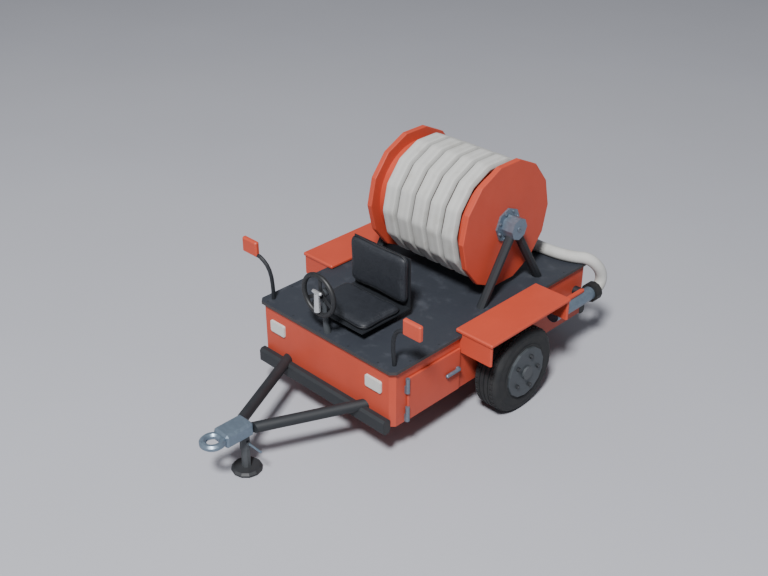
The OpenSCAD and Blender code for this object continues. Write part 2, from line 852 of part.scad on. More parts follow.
module seat_frame() {
    plate_y = pad_y + back_t + seat_gap;
    plate_t = 5;
    color(GREY) place() {
        translate([-pan_w / 2, seat_y - 2, cushion_z - pan_t - seat_gap])
            cube([pan_w, plate_y + plate_t - seat_y + 2, pan_t]);
        translate([-pan_w / 2, plate_y, cushion_z - pan_t - seat_gap])
            cube([pan_w, plate_t, back_up + back_h - 20 + pan_t]);
        translate([-pedestal.x / 2, pedestal_y, deck_top])
            cube([pedestal.x, pedestal.y, seat_up - seat_gap - pan_t / 2]);
    }
}

// Outline of a cushion of half sizes a and b: nearly square corners, sides drawn in between them
function outline(a, b, count, draw) = [
    for (i = [0 : count - 1])
        let (t = 360 * i / count, c = cos(t), s = sin(t),
            x = sign(c) * pow(abs(c), 0.25), y = sign(s) * pow(abs(s), 0.25))
        [x * (a - draw * (1 - y * y)), y * (b - draw * (1 - x * x))]
];

// A cushion standing on Z = 0: its layers are [inset, height], and a low crown closes its top
module cushion(w, l, t, swell) {
    count = 40;
    draw = 4;
    body = t - swell;
    layers = [
        [9, 0], [3, 0.08 * body], [0.8, 0.25 * body], [0.8, 0.52 * body], [0, 0.56 * body],
        [0, 0.62 * body], [0.8, 0.66 * body], [2, 0.85 * body], [9, body]
    ];
    tops = [for (k = [1 : 3]) [9 + (min(w, l) / 2 - 9) * k * 0.27, body + swell * sin(90 * k / 3.4)]];
    rings = concat(layers, tops);
    points = [for (r = rings) for (p = outline(w / 2 - r[0], l / 2 - r[0], count, draw)) [p.x, p.y, r[1]]];
    last = len(rings) - 1;
    polyhedron(
        concat(points, [[0, 0, body + swell], [0, 0, 0]]),
        concat(
            [for (k = [0 : last - 1], i = [0 : count - 1])
                [k * count + i, (k + 1) * count + i, (k + 1) * count + (i + 1) % count]],
            [for (k = [0 : last - 1], i = [0 : count - 1])
                [k * count + i, (k + 1) * count + (i + 1) % count, k * count + (i + 1) % count]],
            [for (i = [0 : count - 1]) [last * count + i, len(points), last * count + (i + 1) % count]],
            [for (i = [0 : count - 1]) [(i + 1) % count, len(points) + 1, i]]
        )
    );
}

module seat_cushion() {
    color(DARK) place() translate([0, seat_y + seat_l / 2, cushion_z]) cushion(seat_w, seat_l, seat_t, crown);
}

module seat_back() {
    color(DARK) place() translate([0, pad_y + back_t, cushion_z + back_up + back_h / 2]) rotate([90, 0, 0])
        cushion(seat_w - 4, back_h, back_t, crown);
}

// STEERING
steer_z = deck_top + steer_up;
rim_y = -steer_y;
neck_r = rim_half;
weld_bead = 1;
neck_z = deck_top + 122;
core_r = 7;
sleeve_r = 12;
spoke_t = 6;
spoke_y = rim_y + 12;
housing_y = spoke_y + spoke_t / 2 + 10;
housing_l = 45;
neck_y = housing_y + neck_r + weld_bead;
collar_y = housing_y + 24;
pillar_r = 20;
pillar_y = spoke_y - spoke_t / 2 - 1.5 - pillar_r;
pillar_bottom = steer_z - (steer_r - rim_half) + 7.5;
barrel_r = 11;
barrel_z = steer_z + 21;

// A cylinder along +Y from the given Y, on the steering wheel's axis
module along_y(y, r, h) translate([0, y + h, steer_z]) rotate([90, 0, 0]) cylinder(r = r, h = h);

module steering_column() {
    foot = [0, column_y, deck_top];
    bend = [0, neck_y, neck_z];
    slope = atan2(foot.y - bend.y, bend.z - foot.z);
    reach = norm(bend - foot);
    color(GREY) place() difference() {
        union() {
            translate(foot) rotate([slope, 0, 0]) translate([0, 0, -column_foot_d / 2])
                cylinder(r1 = column_foot_d / 2, r2 = neck_r, h = reach + column_foot_d / 2);
            translate(bend) sphere(r = neck_r + weld_bead);
            translate(bend) cylinder(r = neck_r, h = steer_z - neck_z);
            along_y(housing_y, 2 * sleeve_r, housing_l);
        }
        translate([-column_foot_d, 0, deck_top - column_foot_d]) cube([2 * column_foot_d, 2 * column_y, column_foot_d]);
        along_y(housing_y - 1, sleeve_r + run_gap, collar_y - housing_y + 2);
        along_y(collar_y, 1.5 * sleeve_r, 13);
        along_y(collar_y, core_r + run_gap, housing_l);
    }
}

// The turning tube that carries the wheel
module steering_sleeve() {
    front = spoke_y - spoke_t / 2;
    color(STEEL) place() difference() {
        union() {
            along_y(front, sleeve_r, collar_y + 7 - front);
            along_y(collar_y + 0.3, 1.5 * sleeve_r - 1, 6.7);
        }
        along_y(front - 1, core_r + run_gap, housing_l + 40);
    }
}

module steering_wheel() {
    spoke_w = 22;
    color(BLACK) place() difference() {
        union() {
            translate([0, rim_y, steer_z]) rotate([90, 0, 0])
                rotate_extrude($fn = 64) translate([steer_r, 0]) circle(r = rim_half, $fn = 24);
            along_y(spoke_y - spoke_t / 2, 26, spoke_t + 9);
            for (turn = [-30, 90, 210]) translate([0, spoke_y, steer_z]) rotate([0, -turn, 0])
                translate([sleeve_r + 4, -spoke_t / 2, -spoke_w / 2])
                    cube([steer_r - sleeve_r - 8, spoke_t, spoke_w]);
        }
        along_y(spoke_y - spoke_t, sleeve_r + run_gap, 3 * spoke_t + 9);
    }
}

// The pillar stays still in front of the wheel, on a rod through the turning sleeve
module hub_pillar() {
    color(STEEL) place() difference() {
        union() {
            translate([0, pillar_y, pillar_bottom])
                cylinder(r1 = pillar_r, r2 = pillar_r - 3, h = barrel_z - barrel_r / 2 - pillar_bottom);
            along_y(pillar_y, core_r, housing_y + housing_l - pillar_y);
        }
        translate([0, pillar_y, barrel_z]) along_x(-2 * pillar_r, barrel_r + seat_gap, 4 * pillar_r);
    }
}

module hub_barrel() {
    half = 27;
    color(STEEL) place() translate([0, pillar_y, barrel_z]) {
        along_x(-half, barrel_r, 2 * half);
        for (side = [LEFT, RIGHT]) translate([side * half, 0, 0]) sphere(r = barrel_r);
    }
}

// TUBES SWEPT ALONG A ROUTE
function unit(v) = v / norm(v);
function heading(route, i) =
    unit(route[min(i + 1, len(route) - 1)] - route[max(i - 1, 0)]);

// Side vectors carried along the route without twist
function carried(route) = [
    for (i = 0, side = [1, 0, 0]; i < len(route);
        i = i + 1,
        side = i < len(route) ? let (t = heading(route, i)) unit(side - t * (side * t)) : side)
        side
];

function swept(route, r, n) =
    let (first = carried(route))
    [for (i = [0 : len(route) - 1])
        let (t = heading(route, i), a = first[i], b = cross(t, a))
        [for (j = [0 : n - 1]) route[i] + r * (cos(360 * j / n) * a + sin(360 * j / n) * b)]];

// Faces of a tube through rings of n points, with flat ends
function tube_faces(count, n) = concat(
    [for (i = [0 : count - 2], j = [0 : n - 1]) [i * n + j, (i + 1) * n + j, (i + 1) * n + (j + 1) % n]],
    [for (i = [0 : count - 2], j = [0 : n - 1]) [i * n + j, (i + 1) * n + (j + 1) % n, i * n + (j + 1) % n]],
    [for (j = [1 : n - 2]) [0, j, j + 1]],
    [for (j = [1 : n - 2]) [(count - 1) * n, (count - 1) * n + j + 1, (count - 1) * n + j]]
);

function flat_points(rings) = [for (r = rings) for (p = r) p];

// MIRRORS
mirror_back = 46;
mirror_low = 11;
mirror_pivot = [deck_w / 2 + mirror_out, mirror_back, deck_top + mirror_up];
head_inner = mirror_pivot.x;
mirror_mid = mirror_pivot + [mirror_w / 2, 0, mirror_h / 2 - mirror_low];
// The arm's middle from its foot to its head: inwards from the head, behind the deck's front edge, and up
arm_in = [91, 91, 94, 95, 92, 82, 65, 44, 23, 11, seat_gap];
arm_back = [70, 70, 68, 65, 62, 59, 55, 50, 46, 46, 46];
arm_up = [0, 15, 55, 100, 150, 190, 223, 246, 261, 264, 264];
arm_route = [for (i = [0 : len(arm_up) - 1])
    [head_inner - arm_in[i], arm_back[i] * mirror_back / arm_back[10], deck_top + arm_up[i] * mirror_up / arm_up[10]]];
arm_sides = 12;
arm_pin_r = 8;
arm_pin_l = 26;

// Each arm ends in a round pin for its head
module mirror_arms() {
    rings = swept(arm_route, arm_d / 2, arm_sides);
    color(BLACK) place() for (side = [LEFT, RIGHT]) sided(side) {
        polyhedron(flat_points(rings), tube_faces(len(rings), arm_sides));
        translate([0, mirror_pivot.y, mirror_pivot.z])
            along_x(head_inner - seat_gap, arm_pin_r, arm_pin_l + seat_gap);
    }
}

glass_w = mirror_w - 4 * mirror_bevel;
glass_h = mirror_h - 4 * mirror_bevel;
glass_t = 3;

module mirror_head(side) {
    color(ORANGE) place() sided(side) difference() {
        translate(mirror_mid) bevel_block([mirror_w, mirror_d, mirror_h], mirror_bevel);
        translate([0, mirror_pivot.y, mirror_pivot.z])
            along_x(head_inner - 1, arm_pin_r + run_gap, arm_pin_l + 3);
        translate(mirror_mid + [-glass_w / 2, mirror_d / 2 - glass_t, -glass_h / 2])
            cube([glass_w, 2 * glass_t, glass_h]);
    }
}

module mirror_glass(side) {
    color(WHITE) place() sided(side)
        translate(mirror_mid + [seat_gap - glass_w / 2, mirror_d / 2 - glass_t, seat_gap - glass_h / 2])
            cube([glass_w - 2 * seat_gap, glass_t, glass_h - 2 * seat_gap]);
}

// REEL
module at_reel() place() translate([0, reel_at, reel_z]) children();

reel_half = reel_w / 2;
flange_face = reel_half + flange_t;
bearing_x = flange_face + hub_plate_t + 0.4;
stand_x = bearing_x + bearing_w / 2;
axle_half = bearing_x + bearing_w + 4;
flat_cos = cos(180 / flange_n);
core_radius = (wind_r - wind_t) * flat_cos - 0.3;

module bearing(side) {
    color(STEEL) at_reel() sided(side) difference() {
        translate([bearing_x, 0, 0]) rotate([0, 90, 0]) cylinder(r = bearing_r, h = bearing_w, $fn = 8);
        along_x(bearing_x - 1, reel_axle_d / 2 + run_gap, bearing_w + 2);
    }
}

// Two tubular legs from the deck to the bearing block
module stand(side) {
    foot = [stand_x, reel_at + stand_spread, deck_top];
    head = [stand_x, reel_at, reel_z];
    over = stand_w * (foot - head) / norm(foot - head);
    leg_l = norm(foot - head) + stand_w;
    color(DARK) place() sided(side) difference() {
        for (way = [0, 1]) translate([0, reel_at, 0]) mirror([0, way, 0]) translate([0, -reel_at, 0])
            along(foot + over, head) difference() {
                octagon(stand_w, leg_l);
                translate([0, 0, -1]) octagon(stand_w - 2 * stand_wall, leg_l + 2);
            }
        translate([bearing_x - stand_w, reel_at, reel_z]) rotate([0, 90, 0])
            cylinder(r = bearing_r, h = bearing_w + 2 * stand_w, $fn = 8);
        translate([0, reel_at - 2 * stand_spread, deck_top - reel_up])
            cube([2 * stand_x, 4 * stand_spread, reel_up]);
    }
}

module reel_axle() {
    color(STEEL) at_reel() difference() {
        along_x(-axle_half, reel_axle_d / 2, 2 * axle_half);
        for (side = [LEFT, RIGHT]) sided(side) along_x(axle_half - 6, 5, 7);
    }
}

// A hollow flange: an outer plate, a rim and an inner ring that the drum passes through
module flange(side) {
    bevel = 4;
    color(ORANGE) at_reel() sided(side) rotate([90, 0, 0]) difference() {
        translate([reel_half, 0, 0]) rotate([0, 90, 0]) hull() {
            linear_extrude(flange_t) sides(flange_n, flange_r - bevel);
            translate([0, 0, bevel]) linear_extrude(flange_t - 2 * bevel) sides(flange_n, flange_r);
        }
        translate([reel_half + flange_plate, 0, 0]) rotate([0, 90, 0])
            linear_extrude(flange_t - 2 * flange_plate) sides(flange_n, flange_r - bevel - flange_plate);
        along_x(reel_half - 1, core_radius + seat_gap, flange_plate + 2);
        along_x(reel_half, reel_axle_d / 2 + run_gap, flange_t + 1);
    }
}

module hub_plates() {
    color(STEEL) at_reel() for (side = [LEFT, RIGHT]) sided(side) difference() {
        translate([flange_face, 0, 0]) rotate([0, 90, 0]) cylinder(r = hub_plate_r, h = hub_plate_t, $fn = 8);
        along_x(flange_face - 1, reel_axle_d / 2 + run_gap, hub_plate_t + 2);
    }
}

// HOSE WINDING
// Each turn lies in its own plane, and steps over to the next one along the last three flats.
// Steps go by half a flat, so that every other ring of points is a corner of the winding.
cross_flats = 3;
wind_wall = 4;
turn_steps = 2 * flange_n;
wind_steps = 2 * (flange_n * wind_turns - cross_flats);
wind_profile = [
    [wind_crest / 2, wind_r], [-wind_crest / 2, wind_r], [-wind_w / 2, wind_r - wind_t / 2],
    [-wind_crest / 2, wind_r - wind_t], [wind_crest / 2, wind_r - wind_t], [wind_w / 2, wind_r - wind_t / 2]
];

function eased(u) = u * u * (3 - 2 * u);
function wind_x(i) =
    let (turn = floor(i / turn_steps), left = turn_steps - i % turn_steps,
        u = max(0, 1 - left / (2 * cross_flats)))
    wind_shift + wind_pitch * (turn + 0.5 + eased(u) - wind_turns / 2);

// Radial scale of a ring: corners stand out, the middles of flats lie in
function wind_ring(i) =
    let (a = 180 * i / flange_n, k = i % 2 == 0 ? 1 : flat_cos)
    [for (p = wind_profile) [wind_x(i) + p.x, k * p.y * cos(a), k * p.y * sin(a)]];

// An end ring stands square to its flat, at the flat's own end
function wind_end(i, way) =
    let (a = 180 * (i + way) / flange_n, s = -way * (wind_r - wind_t / 2) * sin(180 / flange_n))
    [for (p = wind_profile) [wind_x(i) + p.x,
        flat_cos * p.y * cos(a) - s * sin(a), flat_cos * p.y * sin(a) + s * cos(a)]];

wind_rings = [for (i = [0 : wind_steps])
    i == 0 ? wind_end(i, 1) : i == wind_steps ? wind_end(i, -1) : wind_ring(i)];

// Least distance between the points of rings that lie a turn apart
function least_gap(rings) = min([
    for (i = [0 : len(rings) - 1 - turn_steps], d = [-2 : 2])
        if (i + turn_steps + d < len(rings))
            for (p = rings[i], q = rings[i + turn_steps + d]) norm(p - q)
]);

module hose_winding() {
    echo(winding_least_gap = least_gap(wind_rings));
    color(WHITE) at_reel() polyhedron(flat_points(wind_rings), tube_faces(len(wind_rings), len(wind_profile)));
}

// The drum under the winding, with a stop block against each end of the hose
module drum_core() {
    drum_half = flange_face - flange_plate - seat_gap;
    stop_w = 70;
    stop_l = 60;
    stop_h = wind_t - 6;
    low = (wind_r - wind_t) * flat_cos - 3;
    half_flat = (wind_r - wind_t / 2) * sin(180 / flange_n);
    color(ORANGE) at_reel() {
        difference() {
            along_x(-drum_half, core_radius, 2 * drum_half);
            along_x(-drum_half - 1, core_radius - wind_wall, 2 * drum_half + 2);
        }
        rotate([180 / flange_n, 0, 0])
            translate([wind_x(0) - stop_w / 2, low, -half_flat - stop_l - seat_gap]) cube([stop_w, stop_h, stop_l]);
        rotate([180 * (wind_steps - 1) / flange_n, 0, 0])
            translate([wind_x(wind_steps) - stop_w / 2, low, half_flat + seat_gap]) cube([stop_w, stop_h, stop_l]);
    }
}

// HOSE OUTLET
hose_end_y = pipe_rear + shoulder_t;
collar_front = pipe_rear - collar_l / 2;
end_cap_t = 5;
mouth_l = 9;
port_r = stub_d / 2 - 6;

module outlet_pipe() {
    color(STEEL) place() translate([pipe_x, pipe_rear, pipe_z]) rotate([90, 0, 0]) difference() {
        cylinder(d = pipe_d, h = pipe_l);
        translate([0, 0, -1]) cylinder(d = pipe_d - 2 * pipe_wall, h = pipe_l - end_cap_t + 1);
        translate([0, 0, stub_inset]) rotate([0, -90, 0]) cylinder(r = port_r, h = pipe_d);
    }
}

module feed_stub() {
    inner = box_w / 2 - sheet_t;
    tube_l = 30;
    color(BLACK) place() translate([0, stub_y, pipe_z]) difference() {
        union() {
            along_x(inner - tube_l, stub_d / 2, pipe_x - inner + tube_l);
            along_x(inner - seat_gap - 8, stub_d / 2 + 14, 8);
        }
        along_x(inner - tube_l - 1, port_r, pipe_x - inner + tube_l + 2);
        translate([pipe_x, pipe_d, 0]) rotate([90, 0, 0]) cylinder(d = pipe_d, h = 2 * pipe_d);
    }
}

stem_r = 8;
lever_z = pipe_z + pipe_d / 2 + 4;

// The valve's neck, stem and top nut
module valve_bonnet() {
    color(STEEL) place() difference() {
        translate([pipe_x, valve_y, pipe_z]) {
            cylinder(d = lever_w, h = lever_z - seat_gap - pipe_z);
            cylinder(r = stem_r, h = lever_z + lever_t + 6 - pipe_z);
            translate([0, 0, lever_z + lever_t + seat_gap - pipe_z])
                cylinder(r = 1.5 * stem_r, h = 6 - seat_gap, $fn = 6);
        }
        translate([pipe_x, pipe_rear, pipe_z]) rotate([90, 0, 0]) cylinder(d = pipe_d, h = pipe_l);
    }
}

module valve_lever() {
    color(ORANGE) place() translate([pipe_x, valve_y, lever_z]) difference() {
        linear_extrude(lever_t) {
            circle(d = lever_w);
            translate([-lever_w / 2, 0]) square([lever_w, lever_l - lever_w / 2]);
            translate([0, lever_l - lever_w / 2]) circle(d = lever_w);
        }
        translate([0, 0, -1]) cylinder(r = stem_r + run_gap, h = lever_t + 2);
    }
}

module hose_collar() {
    color(BLACK) place() translate([pipe_x, collar_front, pipe_z]) rotate([-90, 0, 0]) difference() {
        cylinder(d = collar_d, h = collar_l, $fn = 12);
        translate([0, 0, -1]) cylinder(d = pipe_d + 2 * seat_gap, h = pipe_rear - collar_front + 1);
        translate([0, 0, -1]) cylinder(d = hose_d - 6, h = collar_l + 2);
        translate([0, 0, hose_end_y - collar_front]) cylinder(d = hose_d + 2 * seat_gap, h = collar_l);
        translate([0, 0, collar_l - mouth_l]) cylinder(d1 = hose_d + 2 * seat_gap, d2 = hose_d + 5, h = mouth_l + 0.1);
    }
}

// HOSE TAIL
tail_sides = 12;

module hose_tail() {
    rings = swept(tail_run, hose_d / 2, tail_sides);
    color(WHITE) place() polyhedron(flat_points(rings), tube_faces(len(rings), tail_sides));
}

// A coupling on the loose end, which lies on the deck
module tail_coupling() {
    end = tail_run[len(tail_run) - 1];
    socket = 24;
    color(BLACK) place() translate(end + [0, socket, 0]) rotate([90, 0, 0]) difference() {
        cylinder(d = coupling_d, h = coupling_l);
        translate([0, 0, -1]) cylinder(d = hose_d + 2 * seat_gap, h = socket + 1);
        translate([0, 0, -1]) cylinder(d = hose_d - 12, h = coupling_l + 2);
    }
}

box_shell();
deck_plate();
front_beam();
rear_beam();
beam_plugs();
drawbar_tubes();
coupler();
lunette_ring();
jack_sleeve();
jack_leg();
jack_foot();
jack_clamp_screw();
axle_beam();
hub(LEFT);  // hub_left
hub(RIGHT);  // hub_right
rim(LEFT);  // rim_left
rim(RIGHT);  // rim_right
tyre(LEFT);  // tyre_left
tyre(RIGHT);  // tyre_right
wheel_nuts(LEFT);  // wheel_nuts_left
wheel_nuts(RIGHT);  // wheel_nuts_right
fender(LEFT);  // fender_left
fender(RIGHT);  // fender_right
lamp_housings();
lamp_lenses();
side_door();
door_knuckles();
hinge_knuckles();
door_handle();
seat_frame();
seat_cushion();
seat_back();
steering_column();
steering_sleeve();
steering_wheel();
hub_pillar();
hub_barrel();
mirror_arms();
mirror_head(LEFT);  // mirror_head_left
mirror_head(RIGHT);  // mirror_head_right
mirror_glass(LEFT);  // mirror_glass_left
mirror_glass(RIGHT);  // mirror_glass_right
stand(LEFT);  // stand_left
stand(RIGHT);  // stand_right
bearing(LEFT);  // bearing_left
bearing(RIGHT);  // bearing_right
reel_axle();
flange(LEFT);  // flange_left
flange(RIGHT);  // flange_right
hub_plates();
drum_core();
hose_winding();
outlet_pipe();
feed_stub();
valve_bonnet();
valve_lever();
hose_collar();
hose_tail();
tail_coupling();
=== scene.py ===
"""Dresses the hose reel trailer: enamelled sheet steel, zinc fittings, rubber, vinyl and hose."""

from __future__ import annotations

import json
import logging
import math
from dataclasses import dataclass
from enum import Enum
from functools import partial
from typing import Any, Iterable, Sequence

import bmesh
import bpy
import numpy as np
from mathutils import Matrix, Vector

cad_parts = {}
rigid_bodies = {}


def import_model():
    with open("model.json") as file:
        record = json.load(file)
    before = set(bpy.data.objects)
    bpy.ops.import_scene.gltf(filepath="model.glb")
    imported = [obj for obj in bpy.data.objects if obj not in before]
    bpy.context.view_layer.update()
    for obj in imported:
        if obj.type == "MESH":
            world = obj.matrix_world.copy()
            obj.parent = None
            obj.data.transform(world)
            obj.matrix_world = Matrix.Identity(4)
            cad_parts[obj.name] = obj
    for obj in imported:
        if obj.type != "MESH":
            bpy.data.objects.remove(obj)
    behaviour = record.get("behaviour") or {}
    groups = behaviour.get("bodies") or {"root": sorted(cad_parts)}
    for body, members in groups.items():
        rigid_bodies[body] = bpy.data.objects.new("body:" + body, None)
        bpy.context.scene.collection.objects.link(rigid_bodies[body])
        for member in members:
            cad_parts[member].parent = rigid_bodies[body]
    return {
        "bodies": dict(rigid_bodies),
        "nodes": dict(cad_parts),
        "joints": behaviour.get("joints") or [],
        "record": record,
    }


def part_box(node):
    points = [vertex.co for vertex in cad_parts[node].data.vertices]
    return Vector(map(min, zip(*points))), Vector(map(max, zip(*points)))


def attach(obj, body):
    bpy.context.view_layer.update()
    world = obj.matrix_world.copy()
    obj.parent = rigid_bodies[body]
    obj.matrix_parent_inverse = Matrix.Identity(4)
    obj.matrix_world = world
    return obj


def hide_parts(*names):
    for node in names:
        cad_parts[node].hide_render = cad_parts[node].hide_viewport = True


LOG = logging.getLogger("hose_reel_trailer")

Tree = bpy.types.NodeTree
Socket = bpy.types.NodeSocket
Node = bpy.types.Node

# The part's own frame: metres, +Z up, the drawbar towards -Y, the door side +X
Y_SHIFT = -0.479
DECK_TOP = 0.618
UP = (0.0, 0.0, 1.0)
# How far a thing stands clear of what it lies on
CLEAR = 0.0003
# Both axles run along X; these are their places along Y and Z
WHEEL_AXLE = (0.453, 0.272)
REEL_AXLE = (0.651, 1.045)
# Middle of the cushion's underside, and of the backrest pad's rear
CUSHION_AT = (0.0, -0.215, 0.683)
BACKREST_AT = (0.0, 0.0, 0.864)


# ---- small tools -------------------------------------------------------------------------------
def linear(hex_colour: str) -> tuple[float, float, float, float]:
    """Turns an sRGB hex colour into linear red, green, blue and alpha.

    Args:
        hex_colour: A colour such as "#c4553f".

    Returns:
        The colour as Blender's shader sockets take it.
    """
    channels = [int(hex_colour[i : i + 2], 16) / 255 for i in (1, 3, 5)]
    red, green, blue = (
        c / 12.92 if c <= 0.04045 else ((c + 0.055) / 1.055) ** 2.4 for c in channels
    )
    return red, green, blue, 1.0


def tinted(colour: Sequence[float], share: float) -> tuple[float, ...]:
    """Gives a linear colour made darker or lighter by a share, with full alpha."""
    return tuple(min(1.0, share * c) for c in colour[:3]) + (1.0,)


def per_metre(size_mm: float) -> float:
    """Gives a pattern's scale in cycles per metre from the real size of one cycle in mm."""
    return 1000.0 / size_mm


def per_band(size_mm: float) -> float:
    """Gives a wave's scale from one band's real size; at scale 1 about 3.2 bands fill a metre."""
    return per_metre(size_mm) / 3.2


def add_node(
    tree: Tree,
    kind: str,
    inputs: dict[Any, Any] | None = None,
    links: dict[Any, Socket] | None = None,
    **settings: Any,
) -> Node:
    """Adds one node to a tree, sets it up and links it.

    Args:
        tree: The shader or geometry tree.
        kind: The node's type.
        inputs: Values for input sockets, by name or number.
        links: Output sockets to link, by the name or number of the input that takes each.
        **settings: The node's own properties.

    Returns:
        The new node.
    """
    node = tree.nodes.new(kind)
    for key, value in settings.items():
        setattr(node, key, value)
    for socket, value in (inputs or {}).items():
        node.inputs[socket].default_value = value
    for socket, source in (links or {}).items():
        tree.links.new(source, node.inputs[socket])
    return node


def mesh_object(
    name: str, points: Iterable[Sequence[float]], faces: Iterable[Sequence[int]],
    smooth: bool = True,
) -> bpy.types.Object:
    """Makes a closed mesh object at the origin, with its faces turned outwards.

    Args:
        name: The object's name.
        points: Its vertices in metres.
        faces: Its faces, as vertex numbers.
        smooth: Whether its faces are shaded smooth.

    Returns:
        The new object, linked to the scene.
    """
    mesh = bpy.data.meshes.new(name)
    mesh.from_pydata([tuple(p) for p in points], [], [tuple(f) for f in faces])
    shell = bmesh.new()
    shell.from_mesh(mesh)
    bmesh.ops.recalc_face_normals(shell, faces=shell.faces)
    shell.to_mesh(mesh)
    shell.free()
    for face in mesh.polygons:
        face.use_smooth = smooth
    mesh.update()
    piece = bpy.data.objects.new(name, mesh)
    bpy.context.scene.collection.objects.link(piece)
    return piece


def coordinates(mesh: bpy.types.Mesh) -> np.ndarray:
    """Gives a mesh's vertices as an array of n rows of x, y and z."""
    flat = np.zeros(len(mesh.vertices) * 3, np.float64)
    mesh.vertices.foreach_get("co", flat)
    return flat.reshape(-1, 3)


def freeze(piece: bpy.types.Object, name: str) -> bpy.types.Object:
    """Replaces an object that has live modifiers by a plain mesh of what they make.

    Args:
        piece: The object with modifiers, which is removed.
        name: The plain object's name.

    Returns:
        The plain mesh object.
    """
    graph = bpy.context.evaluated_depsgraph_get()
    mesh = bpy.data.meshes.new_from_object(piece.evaluated_get(graph))
    bpy.data.objects.remove(piece)
    mesh.name = name
    plain = bpy.data.objects.new(name, mesh)
    bpy.context.scene.collection.objects.link(plain)
    return plain


def ring_faces(rings: int, sides: int, start: int = 0) -> list[tuple[int, ...]]:
    """Gives the four-cornered faces between rings of points that lie one after another.

    Args:
        rings: How many rings there are.
        sides: Points in each ring.
        start: The number of the first ring's first point.

    Returns:
        The faces, as vertex numbers.
    """
    corners = ((0, 0), (0, 1), (1, 1), (1, 0))
    return [
        tuple(start + (i + row) * sides + (k + step) % sides for row, step in corners)
        for i in range(rings - 1)
        for k in range(sides)
    ]


def turned_head(
    layers: Sequence[tuple[float, float]], sides: int, start: int = 0
) -> tuple[list[tuple[float, float, float]], list[tuple[int, ...]]]:
    """Stacks rings of points about Z into a closed solid, such as a screw's head.

    Args:
        layers: Each ring's radius and height in metres.
        sides: Points in each ring.
        start: The number of its first point.

    Returns:
        Its points and its faces.
    """
    points = [
        (r * math.cos(math.tau * k / sides), r * math.sin(math.tau * k / sides), z)
        for r, z in layers
        for k in range(sides)
    ]
    top = start + (len(layers) - 1) * sides
    faces = ring_faces(len(layers), sides, start)
    faces += [
        tuple(start + k for k in reversed(range(sides))), tuple(top + k for k in range(sides))
    ]
    return points, faces


def lathe(
    name: str, profile: Sequence[tuple[float, float]], segments: int
) -> bpy.types.Object:
    """Turns a closed outline about the X axis through the origin.

    Args:
        name: The object's name.
        profile: The outline, as pairs of place along X and radius, in metres.
        segments: Steps around the axis.

    Returns:
        The turned object.
    """
    count = len(profile)
    points = [
        (x, r * math.cos(math.tau * k / segments), r * math.sin(math.tau * k / segments))
        for k in range(segments)
        for x, r in profile
    ]
    faces = [
        (
            k * count + i,
            k * count + (i + 1) % count,
            (k + 1) % segments * count + (i + 1) % count,
            (k + 1) % segments * count + i,
        )
        for k in range(segments)
        for i in range(count)
    ]
    return mesh_object(name, points, faces)


def tube(name: str, rings: np.ndarray, girth: float, closed: bool = False) -> bpy.types.Object:
    """Skins a run of rings, with flat ends, and lays out its surface in metres as a UV map.

    Args:
        name: The object's name.
        rings: An array of rings, points and coordinates.
        girth: The length around one ring in metres.
        closed: Whether the last ring joins the first.

    Returns:
        The tube, whose UV map "jacket" has U along it and V around it.
    """
    count, sides = rings.shape[:2]
    last = count if closed else count - 1
    quads = [
        (
            i * sides + j,
            (i + 1) % count * sides + j,
            (i + 1) % count * sides + (j + 1) % sides,
            i * sides + (j + 1) % sides,
        )
        for i in range(last)
        for j in range(sides)
    ]
    caps = [] if closed else [
        tuple(range(sides)), tuple((count - 1) * sides + j for j in range(sides))
    ]
    piece = mesh_object(name, rings.reshape(-1, 3), quads + caps)
    middles = rings.mean(axis=1)
    steps = np.linalg.norm(np.diff(middles, axis=0), axis=1)
    along = np.concatenate([[0.0], np.cumsum(steps)])
    layer = piece.data.uv_layers.new(name="jacket")
    for face in piece.data.polygons:
        corners = [(v // sides, v % sides) for v in face.vertices]
        if len(corners) > 4:
            face.use_smooth = False
            for loop in face.loop_indices:
                corner = rings.reshape(-1, 3)[piece.data.loops[loop].vertex_index]
                spot = corner - middles[corners[0][0]]
                layer.data[loop].uv = (float(spot[0]), float(spot[2]))
            continue
        wraps = {j for _, j in corners} == {0, sides - 1}
        ends = {i for i, _ in corners} == {0, count - 1}
        for loop, (i, j) in zip(face.loop_indices, corners):
            u = float(along[i]) if not (ends and i == 0) else float(along[-1] + steps[-1])
            v = girth * (sides if wraps and j == 0 else j) / sides
            layer.data[loop].uv = (u, v)
    return piece


def carried_frames(path: np.ndarray) -> tuple[np.ndarray, np.ndarray]:
    """Gives two side vectors at each point of a path, carried along it without twist.

    Args:
        path: The path's points.

    Returns:
        The two arrays of side vectors, square to the path and to each other.
    """
    ways = np.gradient(path, axis=0)
    ways /= np.linalg.norm(ways, axis=1)[:, None]
    side = np.array([1.0, 0.0, 0.0])
    first = []
    for way in ways:
        side = side - way * side.dot(way)
        side /= np.linalg.norm(side)
        first.append(side)
    return np.array(first), np.cross(ways, np.array(first))


def round_rings(
    path: np.ndarray, first: np.ndarray, second: np.ndarray, radius: float, sides: int
) -> np.ndarray:
    """Sets a circle of points about each point of a path.

    Args:
        path: The path's points.
        first: A side vector at each point.
        second: The other side vector at each point.
        radius: The circles' radius in metres.
        sides: Points in each circle.

    Returns:
        An array of rings, points and coordinates.
    """
    turn = np.linspace(0, math.tau, sides, endpoint=False)
    return (
        path[:, None, :]
        + radius * np.cos(turn)[None, :, None] * first[:, None, :]
        + radius * np.sin(turn)[None, :, None] * second[:, None, :]
    )


